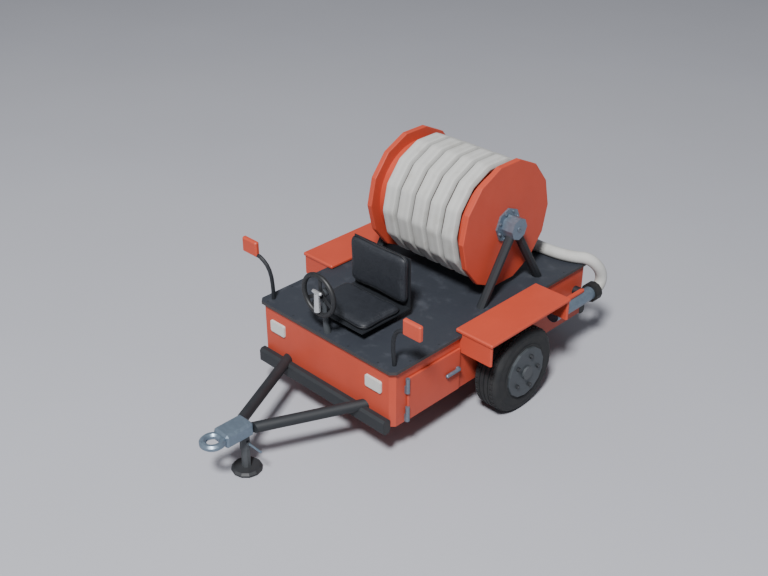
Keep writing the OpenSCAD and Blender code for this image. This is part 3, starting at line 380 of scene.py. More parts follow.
def smooth_route(points: Sequence[Sequence[float]], steps: int) -> np.ndarray:
    """Draws one smooth curve through the points of a route.

    Args:
        points: The route's points in metres.
        steps: Steps between each two points.

    Returns:
        The curve's points.
    """
    p = np.array(points, float)
    ends = np.vstack([2 * p[0] - p[1], p, 2 * p[-1] - p[-2]])
    curve = []
    for a, b, c, d in zip(ends, ends[1:], ends[2:], ends[3:]):
        for k in range(steps):
            t = k / steps
            cubic = (3 * b - a - 3 * c + d) * t**3
            curve.append(0.5 * (2 * b + (c - a) * t + (2 * a - 5 * b + 4 * c - d) * t**2 + cubic))
    return np.array(curve + [p[-1]])


# ---- finishes ----------------------------------------------------------------------------------
@dataclass(frozen=True)
class Finish:
    """What a surface is made of: its name, its colour and its typical optical values."""

    name: str
    colour: str
    roughness: float
    metallic: float = 0.0
    ior: float = 1.5

    def build(self) -> bpy.types.Material:
        """Makes the material.

        Returns:
            The material, with the finish's own detail on Object coordinates.
        """
        material = bpy.data.materials.new(self.name)
        material.use_nodes = True
        tree = material.node_tree
        shader = tree.nodes["Principled BSDF"]
        shader.inputs["Base Color"].default_value = linear(self.colour)
        shader.inputs["Roughness"].default_value = self.roughness
        shader.inputs["Metallic"].default_value = self.metallic
        if not self.metallic:
            shader.inputs["IOR"].default_value = self.ior
        place = add_node(tree, "ShaderNodeTexCoord").outputs["Object"]
        self.dress(tree, place, shader)
        return material

    def dress(self, tree: Tree, place: Socket, shader: Node) -> None:
        """Adds the finish's own pattern, wear and bump.

        Args:
            tree: The material's tree.
            place: Object coordinates.
            shader: The surface's shader.
        """


@dataclass(frozen=True)
class Enamel(Finish):
    """Sprayed enamel on steel: orange peel, faint sheet waviness, dust low down, rubbed edges."""

    worn: str = "#6b6259"
    rub_mm: float = 3.0
    rub: float = 0.5
    peel: float = 0.12
    dust: str = "#6e6c6a"
    dusty: float = 0.22

    def dress(self, tree: Tree, place: Socket, shader: Node) -> None:
        """Adds fading, rubbed edges, dust and orange peel.

        Args:
            tree: The material's tree.
            place: Object coordinates.
            shader: The surface's shader.
        """
        add = partial(add_node, tree)
        base = linear(self.colour)
        patch = add(
            "ShaderNodeTexNoise", {"Scale": per_metre(170), "Detail": 3.0}, {"Vector": place}
        )
        faded = add(
            "ShaderNodeMix", {6: tinted(base, 0.9), 7: tinted(base, 1.07)},
            {0: patch.outputs["Fac"]}, data_type="RGBA",
        )
        # An edge is where the normal, rounded over a few millimetres, leaves the true one
        rounded = add("ShaderNodeBevel", {"Radius": self.rub_mm / 1000}, samples=4)
        true = add("ShaderNodeNewGeometry")
        same = add(
            "ShaderNodeVectorMath", links={0: rounded.outputs["Normal"], 1: true.outputs["Normal"]},
            operation="DOT_PRODUCT",
        )
        chips = add(
            "ShaderNodeTexNoise", {"Scale": per_metre(22), "Detail": 5.0, "Roughness": 0.7},
            {"Vector": place},
        )
        edge = add(
            "ShaderNodeMapRange", {"From Min": 0.995, "From Max": 0.86, "To Max": 1.0},
            {"Value": same.outputs["Value"]},
        )
        chipped = add(
            "ShaderNodeMapRange", {"From Min": 0.56, "From Max": 0.66, "To Max": self.rub},
            {"Value": chips.outputs["Fac"]},
        )
        worn = add(
            "ShaderNodeMath", links={0: edge.outputs[0], 1: chipped.outputs[0]},
            operation="MULTIPLY",
        )
        rubbed = add(
            "ShaderNodeMix", {7: linear(self.worn)}, {0: worn.outputs[0], 6: faded.outputs[2]},
            data_type="RGBA",
        )
        # Road dust thins out from the ground to about knee height
        height = add("ShaderNodeSeparateXYZ", links={0: place})
        low = add(
            "ShaderNodeMapRange", {"From Min": 0.45, "From Max": 0.1, "To Max": self.dusty},
            {"Value": height.outputs["Z"]},
        )
        drift = add(
            "ShaderNodeTexNoise", {"Scale": per_metre(60), "Detail": 6.0}, {"Vector": place}
        )
        dusty = add(
            "ShaderNodeMath", links={0: low.outputs[0], 1: drift.outputs["Fac"]},
            operation="MULTIPLY",
        )
        dusted = add(
            "ShaderNodeMix", {7: linear(self.dust)}, {0: dusty.outputs[0], 6: rubbed.outputs[2]},
            data_type="RGBA",
        )
        tree.links.new(dusted.outputs[2], shader.inputs["Base Color"])
        gloss = add(
            "ShaderNodeMapRange",
            {"To Min": self.roughness - 0.06, "To Max": self.roughness + 0.12},
            {"Value": drift.outputs["Fac"]},
        )
        tree.links.new(gloss.outputs[0], shader.inputs["Roughness"])
        # Orange peel is 2 to 3 mm across; it is drawn at 7 mm so that it shows
        peel = add("ShaderNodeTexNoise", {"Scale": per_metre(7), "Detail": 2.0}, {"Vector": place})
        fine = add(
            "ShaderNodeBump", {"Strength": self.peel, "Distance": 0.0008},
            {"Height": peel.outputs["Fac"]},
        )
        sheet = add(
            "ShaderNodeTexNoise", {"Scale": per_metre(240), "Detail": 1.0}, {"Vector": place}
        )
        wavy = add(
            "ShaderNodeBump", {"Strength": 0.25, "Distance": 0.006},
            {"Height": sheet.outputs["Fac"], "Normal": fine.outputs["Normal"]},
        )
        tree.links.new(wavy.outputs["Normal"], shader.inputs["Normal"])


@dataclass(frozen=True)
class Zinc(Finish):
    """Zinc on steel: crystal spangles, fine scratches and duller handled patches."""

    spangle_mm: float = 14.0
    contrast: float = 0.09

    def dress(self, tree: Tree, place: Socket, shader: Node) -> None:
        """Adds spangles, scratches and a dull film.

        Args:
            tree: The material's tree.
            place: Object coordinates.
            shader: The surface's shader.
        """
        add = partial(add_node, tree)
        base = linear(self.colour)
        cells = add(
            "ShaderNodeTexVoronoi", {"Scale": per_metre(self.spangle_mm)}, {"Vector": place}
        )
        grey = add("ShaderNodeSeparateColor", links={0: cells.outputs["Color"]})
        film = add("ShaderNodeTexNoise", {"Scale": per_metre(70), "Detail": 4.0}, {"Vector": place})
        mixed = add(
            "ShaderNodeMath", links={0: grey.outputs[0], 1: film.outputs["Fac"]},
            operation="MULTIPLY",
        )
        colour = add(
            "ShaderNodeMix",
            {6: tinted(base, 1 - self.contrast), 7: tinted(base, 1 + 2 * self.contrast)},
            {0: mixed.outputs[0]}, data_type="RGBA",
        )
        tree.links.new(colour.outputs[2], shader.inputs["Base Color"])
        dull = add(
            "ShaderNodeMapRange",
            {"To Min": self.roughness - 0.08, "To Max": self.roughness + 0.16},
            {"Value": mixed.outputs[0]},
        )
        tree.links.new(dull.outputs[0], shader.inputs["Roughness"])
        stretched = add(
            "ShaderNodeMapping", {"Scale": (0.08, 1.0, 1.0), "Rotation": (0.2, 0.4, 0.6)},
            {"Vector": place},
        )
        scratches = add(
            "ShaderNodeTexNoise", {"Scale": per_metre(1.6), "Detail": 3.0},
            {"Vector": stretched.outputs["Vector"]},
        )
        bump = add(
            "ShaderNodeBump", {"Strength": 0.12, "Distance": 0.0006},
            {"Height": scratches.outputs["Fac"]},
        )
        tree.links.new(bump.outputs["Normal"], shader.inputs["Normal"])


@dataclass(frozen=True)
class BrushedPlate(Finish):
    """Turned steel plate: fine rings about the wheel's own axle, with a smear of road film."""

    axle: tuple[float, float] = WHEEL_AXLE
    mark_mm: float = 13.745

    def dress(self, tree: Tree, place: Socket, shader: Node) -> None:
        """Adds turning rings and road film.

        Args:
            tree: The material's tree.
            place: Object coordinates.
            shader: The surface's shader.
        """
        add = partial(add_node, tree)
        base = linear(self.colour)
        centred = add(
            "ShaderNodeMapping", {"Location": (0.0, -self.axle[0], -self.axle[1])},
            {"Vector": place},
        )
        # Turning marks are under a millimetre apart; they are drawn coarser so that they show
        rings = add(
            "ShaderNodeTexWave",
            {"Scale": per_band(self.mark_mm), "Distortion": 0.6, "Detail": 2.0},
            {"Vector": centred.outputs["Vector"]}, wave_type="RINGS", rings_direction="X",
        )
        film = add("ShaderNodeTexNoise", {"Scale": per_metre(45), "Detail": 5.0}, {"Vector": place})
        colour = add(
            "ShaderNodeMix", {6: tinted(base, 0.78), 7: tinted(base, 1.18)},
            {0: film.outputs["Fac"]}, data_type="RGBA",
        )
        tree.links.new(colour.outputs[2], shader.inputs["Base Color"])
        dull = add(
            "ShaderNodeMapRange",
            {"To Min": self.roughness - 0.05, "To Max": self.roughness + 0.15},
            {"Value": film.outputs["Fac"]},
        )
        tree.links.new(dull.outputs[0], shader.inputs["Roughness"])
        bump = add(
            "ShaderNodeBump", {"Strength": 0.1, "Distance": 0.0005},
            {"Height": rings.outputs["Fac"]},
        )
        tree.links.new(bump.outputs["Normal"], shader.inputs["Normal"])


@dataclass(frozen=True)
class FilmFacedPly(Finish):
    """Plywood under a dark film pressed with a wire-mesh pattern, its sealed edge showing plies."""

    mesh_mm: float = 7.6
    ply: str = "#4a4038"
    scuff: str = "#5c6068"

    def dress(self, tree: Tree, place: Socket, shader: Node) -> None:
        """Adds the mesh pattern, scuffs and ply lines on the edge.

        Args:
            tree: The material's tree.
            place: Object coordinates.
            shader: The surface's shader.
        """
        add = partial(add_node, tree)
        base = linear(self.colour)
        # The pressed mesh is 2 mm; it is drawn coarser so that it shows from a few metres
        warp = add(
            "ShaderNodeTexWave", {"Scale": per_band(self.mesh_mm)}, {"Vector": place},
            bands_direction="X",
        )
        weft = add(
            "ShaderNodeTexWave", {"Scale": per_band(self.mesh_mm)}, {"Vector": place},
            bands_direction="Y",
        )
        crossing = add(
            "ShaderNodeMath", links={0: warp.outputs["Fac"], 1: weft.outputs["Fac"]},
            operation="MULTIPLY",
        )
        scuffs = add(
            "ShaderNodeTexNoise", {"Scale": per_metre(95), "Detail": 8.0, "Roughness": 0.62},
            {"Vector": place},
        )
        grey = add(
            "ShaderNodeMapRange", {"From Min": 0.55, "From Max": 0.8, "To Max": 0.3},
            {"Value": scuffs.outputs["Fac"]},
        )
        top = add(
            "ShaderNodeMix", {6: tinted(base, 0.92), 7: linear(self.scuff)}, {0: grey.outputs[0]},
            data_type="RGBA",
        )
        height = add("ShaderNodeSeparateXYZ", links={0: place})
        plies = add(
            "ShaderNodeMath", {1: per_metre(2.8) * math.pi}, {0: height.outputs["Z"]},
            operation="MULTIPLY",
        )
        banded = add("ShaderNodeMath", links={0: plies.outputs[0]}, operation="SINE")
        edge = add(
            "ShaderNodeMix", {6: tinted(base, 0.8), 7: linear(self.ply)}, {0: banded.outputs[0]},
            data_type="RGBA",
        )
        true = add("ShaderNodeNewGeometry")
        lift = add("ShaderNodeSeparateXYZ", links={0: true.outputs["Normal"]})
        flat = add("ShaderNodeMath", {1: 0.6}, {0: lift.outputs["Z"]}, operation="GREATER_THAN")
        colour = add(
            "ShaderNodeMix", links={0: flat.outputs[0], 6: edge.outputs[2], 7: top.outputs[2]},
            data_type="RGBA",
        )
        tree.links.new(colour.outputs[2], shader.inputs["Base Color"])
        dull = add(
            "ShaderNodeMapRange",
            {"To Min": self.roughness - 0.08, "To Max": self.roughness + 0.18},
            {"Value": scuffs.outputs["Fac"]},
        )
        tree.links.new(dull.outputs[0], shader.inputs["Roughness"])
        bump = add(
            "ShaderNodeBump", {"Strength": 0.35, "Distance": 0.0006},
            {"Height": crossing.outputs[0]},
        )
        tree.links.new(bump.outputs["Normal"], shader.inputs["Normal"])


@dataclass(frozen=True)
class Rubber(Finish):
    """Moulded rubber or plastic: a fine eggshell skin, with dust caught where it is rough."""

    grain_mm: float = 3.0
    dust: str = "#6d665c"
    dusty: float = 0.25
    bump: float = 0.25

    def dress(self, tree: Tree, place: Socket, shader: Node) -> None:
        """Adds the eggshell skin and dust.

        Args:
            tree: The material's tree.
            place: Object coordinates.
            shader: The surface's shader.
        """
        add = partial(add_node, tree)
        grain = add(
            "ShaderNodeTexNoise", {"Scale": per_metre(self.grain_mm), "Detail": 3.0},
            {"Vector": place},
        )
        bloom = add(
            "ShaderNodeTexNoise", {"Scale": per_metre(55), "Detail": 6.0, "Roughness": 0.6},
            {"Vector": place},
        )
        share = add(
            "ShaderNodeMapRange", {"From Min": 0.4, "From Max": 0.8, "To Max": self.dusty},
            {"Value": bloom.outputs["Fac"]},
        )
        colour = add(
            "ShaderNodeMix", {6: linear(self.colour), 7: linear(self.dust)}, {0: share.outputs[0]},
            data_type="RGBA",
        )
        tree.links.new(colour.outputs[2], shader.inputs["Base Color"])
        dull = add(
            "ShaderNodeMapRange",
            {"To Min": self.roughness - 0.1, "To Max": min(1.0, self.roughness + 0.12)},
            {"Value": bloom.outputs["Fac"]},
        )
        tree.links.new(dull.outputs[0], shader.inputs["Roughness"])
        skin = add(
            "ShaderNodeBump", {"Strength": self.bump, "Distance": 0.0006},
            {"Height": grain.outputs["Fac"]},
        )
        tree.links.new(skin.outputs["Normal"], shader.inputs["Normal"])


@dataclass(frozen=True)
class Vinyl(Finish):
    """Upholstery vinyl: embossed leather grain and a soft sheen where it has been sat on."""

    grain_mm: float = 4.0

    def dress(self, tree: Tree, place: Socket, shader: Node) -> None:
        """Adds the embossed grain, creases and polish.

        Args:
            tree: The material's tree.
            place: Object coordinates.
            shader: The surface's shader.
        """
        add = partial(add_node, tree)
        base = linear(self.colour)
        # Embossed grain is about 1 mm; it is drawn at 4 mm so that it shows
        cells = add(
            "ShaderNodeTexVoronoi", {"Scale": per_metre(self.grain_mm)}, {"Vector": place},
            feature="DISTANCE_TO_EDGE",
        )
        pebble = add(
            "ShaderNodeMapRange", {"From Max": 0.18, "To Max": 1.0},
            {"Value": cells.outputs["Distance"]},
        )
        creases = add(
            "ShaderNodeTexNoise", {"Scale": per_metre(48), "Detail": 4.0, "Distortion": 1.2},
            {"Vector": place},
        )
        colour = add(
            "ShaderNodeMix", {6: tinted(base, 0.75), 7: tinted(base, 1.2)},
            {0: creases.outputs["Fac"]}, data_type="RGBA",
        )
        tree.links.new(colour.outputs[2], shader.inputs["Base Color"])
        polish = add(
            "ShaderNodeMapRange", {"To Min": self.roughness - 0.12, "To Max": self.roughness + 0.1},
            {"Value": creases.outputs["Fac"]},
        )
        tree.links.new(polish.outputs[0], shader.inputs["Roughness"])
        fine = add(
            "ShaderNodeBump", {"Strength": 0.35, "Distance": 0.0006}, {"Height": pebble.outputs[0]}
        )
        soft = add(
            "ShaderNodeBump", {"Strength": 0.3, "Distance": 0.004},
            {"Height": creases.outputs["Fac"], "Normal": fine.outputs["Normal"]},
        )
        tree.links.new(soft.outputs["Normal"], shader.inputs["Normal"])


@dataclass(frozen=True)
class WovenJacket(Finish):
    """Woven polyester hose jacket: warp and weft, handling dirt and painted shade in the grooves.
    """

    thread_mm: float = 6.0
    # The colour's share at a groove's bottom; this darkening is painted shade
    groove_shade_share: float = 0.7
    dirt: str = "#8f8b80"

    def dress(self, tree: Tree, place: Socket, shader: Node) -> None:
        """Adds the weave, which follows the tube, handling dirt and painted shade in the grooves.

        Args:
            tree: The material's tree.
            place: Object coordinates.
            shader: The surface's shader.
        """
        add = partial(add_node, tree)
        laid = add("ShaderNodeUVMap", uv_map="jacket").outputs["UV"]
        # Threads are 2 mm apart; they are drawn 6 mm apart so that they show
        warp = add(
            "ShaderNodeTexWave", {"Scale": per_band(self.thread_mm)}, {"Vector": laid},
            bands_direction="X",
        )
        weft = add(
            "ShaderNodeTexWave", {"Scale": per_band(self.thread_mm)}, {"Vector": laid},
            bands_direction="Y",
        )
        weave = add(
            "ShaderNodeMath", links={0: warp.outputs["Fac"], 1: weft.outputs["Fac"]},
            operation="MULTIPLY",
        )
        smudge = add(
            "ShaderNodeTexNoise", {"Scale": per_metre(85), "Detail": 7.0, "Roughness": 0.6},
            {"Vector": place},
        )
        share = add(
            "ShaderNodeMapRange", {"From Min": 0.52, "From Max": 0.8, "To Max": 0.4},
            {"Value": smudge.outputs["Fac"]},
        )
        dirty = add(
            "ShaderNodeMix", {6: linear(self.colour), 7: linear(self.dirt)}, {0: share.outputs[0]},
            data_type="RGBA",
        )
        shade = add(
            "ShaderNodeMapRange", {"To Min": 0.86, "To Max": 1.04}, {"Value": weave.outputs[0]}
        )
        # Painted shade: the colour darkens in the grooves between the turns, where the next turn
        # shades them
        groove = add("ShaderNodeAttribute", attribute_name="groove")
        shade_in_groove = add(
            "ShaderNodeMapRange", {"To Min": 1.0, "To Max": self.groove_shade_share},
            {"Value": groove.outputs["Fac"]},
        )
        darker = add(
            "ShaderNodeMath", links={0: shade.outputs[0], 1: shade_in_groove.outputs[0]}, operation="MULTIPLY"
        )
        threads = add(
            "ShaderNodeVectorMath", links={0: dirty.outputs[2], 1: darker.outputs[0]},
            operation="MULTIPLY",
        )
        tree.links.new(threads.outputs[0], shader.inputs["Base Color"])
        bump = add(
            "ShaderNodeBump", {"Strength": 0.4, "Distance": 0.0008}, {"Height": weave.outputs[0]}
        )
        tree.links.new(bump.outputs["Normal"], shader.inputs["Normal"])


@dataclass(frozen=True)
class RibbedLens(Finish):
    """Opal acrylic lamp lens: upright prism ribs behind a polished face."""

    rib_mm: float = 9.0

    def dress(self, tree: Tree, place: Socket, shader: Node) -> None:
        """Adds the prism ribs.

        Args:
            tree: The material's tree.
            place: Object coordinates.
            shader: The surface's shader.
        """
        add = partial(add_node, tree)
        ribs = add(
            "ShaderNodeTexWave", {"Scale": per_band(self.rib_mm)}, {"Vector": place},
            bands_direction="X",
        )
        base = linear(self.colour)
        colour = add(
            "ShaderNodeMix", {6: tinted(base, 0.82), 7: base}, {0: ribs.outputs["Fac"]},
            data_type="RGBA",
        )
        tree.links.new(colour.outputs[2], shader.inputs["Base Color"])
        bump = add(
            "ShaderNodeBump", {"Strength": 0.4, "Distance": 0.001}, {"Height": ribs.outputs["Fac"]}
        )
        tree.links.new(bump.outputs["Normal"], shader.inputs["Normal"])


@dataclass(frozen=True)
class Silvered(Finish):
    """Silvered mirror glass with a faint film of dust."""

    def dress(self, tree: Tree, place: Socket, shader: Node) -> None:
        """Adds the dust film to the gloss.

        Args:
            tree: The material's tree.
            place: Object coordinates.
            shader: The surface's shader.
        """
        add = partial(add_node, tree)
        film = add("ShaderNodeTexNoise", {"Scale": per_metre(30), "Detail": 5.0}, {"Vector": place})
        dull = add(
            "ShaderNodeMapRange", {"To Min": 0.02, "To Max": 0.09}, {"Value": film.outputs["Fac"]}
        )
        tree.links.new(dull.outputs[0], shader.inputs["Roughness"])


class Surface(Enum):
    """Every finish on the trailer."""

    # Sprayed enamel: a soft, broad gleam on faded orange, rubbed paler at the edges
    ORANGE = Enamel("orange_enamel", "#b3432e", 0.5, ior=1.45)
    # Anthracite enamel: nearly black, with a cool gleam along the tubes
    DARK = Enamel("anthracite_enamel", "#191d22", 0.6, worn="#4c4b4a", rub=0.35, dusty=0.12)
    # Grey enamel: a plain mid grey, duller and dustier near the ground
    GREY = Enamel("grey_enamel", "#3c4044", 0.5, worn="#66625c", rub=0.35, dusty=0.15)
    # Powder coat: flat black with a pebbled skin that scatters the light
    BLACK_STEEL = Enamel(
        "black_powder_coat", "#181b20", 0.55, worn="#45433f", rub=0.3, peel=0.3, dusty=0.12
    )
    # Phenolic film on plywood: slate blue, dull, with a pressed mesh and pale scuffs
    DECK = FilmFacedPly("phenolic_film_plywood", "#2c3038", 0.55)
    # Zinc plate: blue-grey and satin, with cloudy crystal spangles
    ZINC = Zinc("zinc_plated_steel", "#71808f", 0.42, metallic=0.6)
    # Zinc plate on turned parts: as above, with finer spangles
    HUB_STEEL = Zinc("zinc_plated_hub_steel", "#6f7a86", 0.45, metallic=0.6, spangle_mm=9.0)
    # Satin chrome: the palest metal here, with soft highlights
    CHROME = Zinc("satin_chrome", "#cfd1d3", 0.34, metallic=0.8, contrast=0.04)
    # Turned steel: dark grey, with fine rings that drag the highlight round the axle
    WHEEL = BrushedPlate("turned_wheel_steel", "#4c5155", 0.45, metallic=0.55)
    # Tyre rubber: matt charcoal, greyed by dust
    TYRE = Rubber("tyre_rubber", "#16181b", 0.8, ior=1.52, dust="#4c4a46", dusty=0.2)
    # Moulded rubber: smooth deep black, a little shine
    HARD_RUBBER = Rubber("moulded_black_rubber", "#141517", 0.6, ior=1.52, dusty=0.1)
    # Grained ABS: black, with a fine even grain that breaks the shine
    ABS = Rubber("black_grained_abs", "#17191c", 0.5, ior=1.53, grain_mm=2.0, dusty=0.05)
    # Opal acrylic: glossy milky white over upright ribs
    LENS = RibbedLens("opal_acrylic", "#c9c9c5", 0.2, ior=1.49)
    # Grained ABS: off-white and half matt
    WHITE_ABS = Rubber(
        "white_grained_abs", "#c3c3bf", 0.4, ior=1.53, grain_mm=2.0, dust="#8f8b84", dusty=0.2,
        bump=0.1,
    )
    # Upholstery vinyl: blue-black leather grain, with a sheen where it is creased
    VINYL = Vinyl("upholstery_vinyl", "#202329", 0.55, ior=1.5)
    # Vinyl piping: as the pads, a shade darker and smoother
    PIPING = Vinyl("vinyl_piping", "#191b1f", 0.5, ior=1.5)
    # Bonded nylon: a pale grey thread that stands out on the vinyl
    THREAD = Rubber("bonded_nylon_thread", "#3b3e44", 0.7, ior=1.53, grain_mm=1.0, dusty=0.1)
    # Woven polyester: chalky light grey, with thread lines, handling dirt and painted shade in the
    # grooves
    HOSE = WovenJacket("woven_hose_jacket", "#b9b9b6", 0.8)
    # Silvered glass: a clear reflection under a thin film of dust
    MIRROR = Silvered("silvered_glass", "#dfe4e8", 0.04, metallic=1.0)


# The CAD nodes that stay, by finish
NODES_IN: dict[Surface, tuple[str, ...]] = {
    Surface.ORANGE: (
        "box_shell", "fender_left", "fender_right", "side_door", "mirror_head_left",
        "mirror_head_right", "flange_left", "flange_right", "drum_core", "valve_lever",
    ),
    Surface.DECK: ("deck_plate",),
    Surface.DARK: (
        "front_beam", "rear_beam", "drawbar_tubes", "stand_left", "stand_right",
    ),
    Surface.ABS: ("beam_plugs", "steering_wheel"),
    Surface.ZINC: (
        "coupler", "lunette_ring", "jack_clamp_screw", "door_handle", "bearing_left",
        "bearing_right", "hub_plates", "outlet_pipe", "valve_bonnet",
    ),
    Surface.GREY: (
        "jack_sleeve", "jack_leg", "axle_beam", "hub_left", "hub_right", "steering_column",
    ),
    Surface.BLACK_STEEL: (
        "jack_foot", "wheel_nuts_left", "wheel_nuts_right", "seat_frame", "mirror_arms",
        "feed_stub", "tail_coupling",
    ),
    Surface.WHEEL: ("rim_left", "rim_right"),
    Surface.WHITE_ABS: ("lamp_housings",),
    Surface.LENS: ("lamp_lenses",),
    Surface.HUB_STEEL: (
        "door_knuckles", "hinge_knuckles", "steering_sleeve", "reel_axle",
    ),
    Surface.CHROME: ("hub_pillar", "hub_barrel"),
    Surface.MIRROR: ("mirror_glass_left", "mirror_glass_right"),
    Surface.HARD_RUBBER: ("hose_collar",),
}


class Workshop:
    """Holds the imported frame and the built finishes, and hands each piece to its body."""

    def __init__(self) -> None:
        """Loads the frame and builds every finish."""
        self.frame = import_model()
        self.paint = {surface: surface.value.build() for surface in Surface}
        self.shipped = 0

    def dress_nodes(self) -> None:
        """Gives every CAD node that stays its finish."""
        for surface, nodes in NODES_IN.items():
            for node in nodes:
                materials = self.frame["nodes"][node].data.materials
                materials.clear()
                materials.append(self.paint[surface])
        LOG.info("finishes on %d nodes", sum(map(len, NODES_IN.values())))

    def ship(
        self, piece: bpy.types.Object, surface: Surface, body: str,
        replaces: Sequence[str] = (),
    ) -> bpy.types.Object:
        """Paints a finished piece and lets it ride on its body.

        Args:
            piece: The piece, in its place.
            surface: Its finish.
            body: The body that carries it.
            replaces: CAD nodes that it stands for.

        Returns:
            The same piece.
        """
        piece.data.materials.clear()
        piece.data.materials.append(self.paint[surface])
        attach(piece, body)
        if replaces:
            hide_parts(*replaces)
        self.shipped += 1
        LOG.info("%s: %d faces on %s", piece.name, len(piece.data.polygons), body)
        return piece


# ---- repeats along a path ----------------------------------------------------------------------
class PathRow:
    """A Geometry Nodes tree that sets copies of a small piece along a path.

    Each copy's Z points the way that the path's "facing" attribute says, and its X runs along it.
    """

    def __init__(self) -> None:
        """Builds the tree with its named inputs."""
        self.tree = bpy.data.node_groups.new("row_along_path", "GeometryNodeTree")
        face = self.tree.interface
        for name, kind in (
            ("Path", "Geometry"), ("Piece", "Object"), ("Spacing", "Float"),
            ("Smallest", "Float"), ("Seed", "Int"), ("Finish", "Material"),
        ):
            face.new_socket(name, in_out="INPUT", socket_type=f"NodeSocket{kind}")
        face.new_socket("Row", in_out="OUTPUT", socket_type="NodeSocketGeometry")
        tree = self.tree
        add = partial(add_node, tree)
        given = add("NodeGroupInput")
        curve = add("GeometryNodeMeshToCurve", links={"Mesh": given.outputs["Path"]})
        spots = add(
            "GeometryNodeCurveToPoints",
            links={"Curve": curve.outputs["Curve"], "Length": given.outputs["Spacing"]},
            mode="LENGTH",
        )
        facing = add(
            "GeometryNodeInputNamedAttribute", {"Name": "facing"}, data_type="FLOAT_VECTOR"
        )
        aim = add(
            "FunctionNodeAxesToRotation",
            links={
                "Primary Axis": facing.outputs["Attribute"],
                "Secondary Axis": spots.outputs["Tangent"],
            },
            primary_axis="Z", secondary_axis="X",
        )
        vary = add(
            "FunctionNodeRandomValue", {3: 1.0},
            {2: given.outputs["Smallest"], 8: given.outputs["Seed"]}, data_type="FLOAT",
        )
        piece = add("GeometryNodeObjectInfo", links={"Object": given.outputs["Piece"]})
        copies = add(
            "GeometryNodeInstanceOnPoints",
            links={
                "Points": spots.outputs["Points"], "Instance": piece.outputs["Geometry"],
                "Rotation": aim.outputs["Rotation"], "Scale": vary.outputs[1],
            },
        )
        real = add("GeometryNodeRealizeInstances", links={"Geometry": copies.outputs["Instances"]})
        painted = add(
            "GeometryNodeSetMaterial",
            links={"Geometry": real.outputs["Geometry"], "Material": given.outputs["Finish"]},
        )
        add("NodeGroupOutput", links={"Row": painted.outputs["Geometry"]})

    def lay(
        self,
        name: str,
        paths: Sequence[tuple[np.ndarray, np.ndarray, bool]],
        piece: bpy.types.Object,
        spacing: float,
        finish: bpy.types.Material,
        smallest: float = 1.0,
        seed: int = 1,
    ) -> bpy.types.Object:
        """Lays copies of a piece along one or more paths.

        Args:
            name: The row's name.
            paths: Each path's points, its facing vectors, and whether it closes on itself.
            piece: What is repeated.
            spacing: Distance between copies in metres.
            finish: The row's material.
            smallest: The smallest size of a copy, where 1 is full size.
            seed: The seed of the sizes.

        Returns:
            The row as a plain mesh.
        """
        points: list[tuple[float, ...]] = []
        ways: list[float] = []
        edges: list[tuple[int, int]] = []
        for line, facing, closed in paths:
            start, count = len(points), len(line)
            points += [tuple(p) for p in line]
            ways += [float(c) for f in facing for c in f]
            edges += [
                (start + i, start + (i + 1) % count) for i in range(count if closed else count - 1)
            ]
        mesh = bpy.data.meshes.new(name + "_path")
        mesh.from_pydata(points, edges, [])
        mesh.attributes.new("facing", "FLOAT_VECTOR", "POINT").data.foreach_set("vector", ways)
        line_object = bpy.data.objects.new(name + "_path", mesh)
        bpy.context.scene.collection.objects.link(line_object)
        modifier = line_object.modifiers.new("row", "NODES")
        modifier.node_group = self.tree
        values = {
            "Piece": piece, "Spacing": spacing, "Smallest": smallest, "Seed": seed, "Finish": finish
        }
        for item in self.tree.interface.items_tree:
            if item.in_out == "INPUT" and item.name in values:
                modifier[item.identifier] = values[item.name]
        row = freeze(line_object, name)
        bpy.data.objects.remove(piece)
        return row


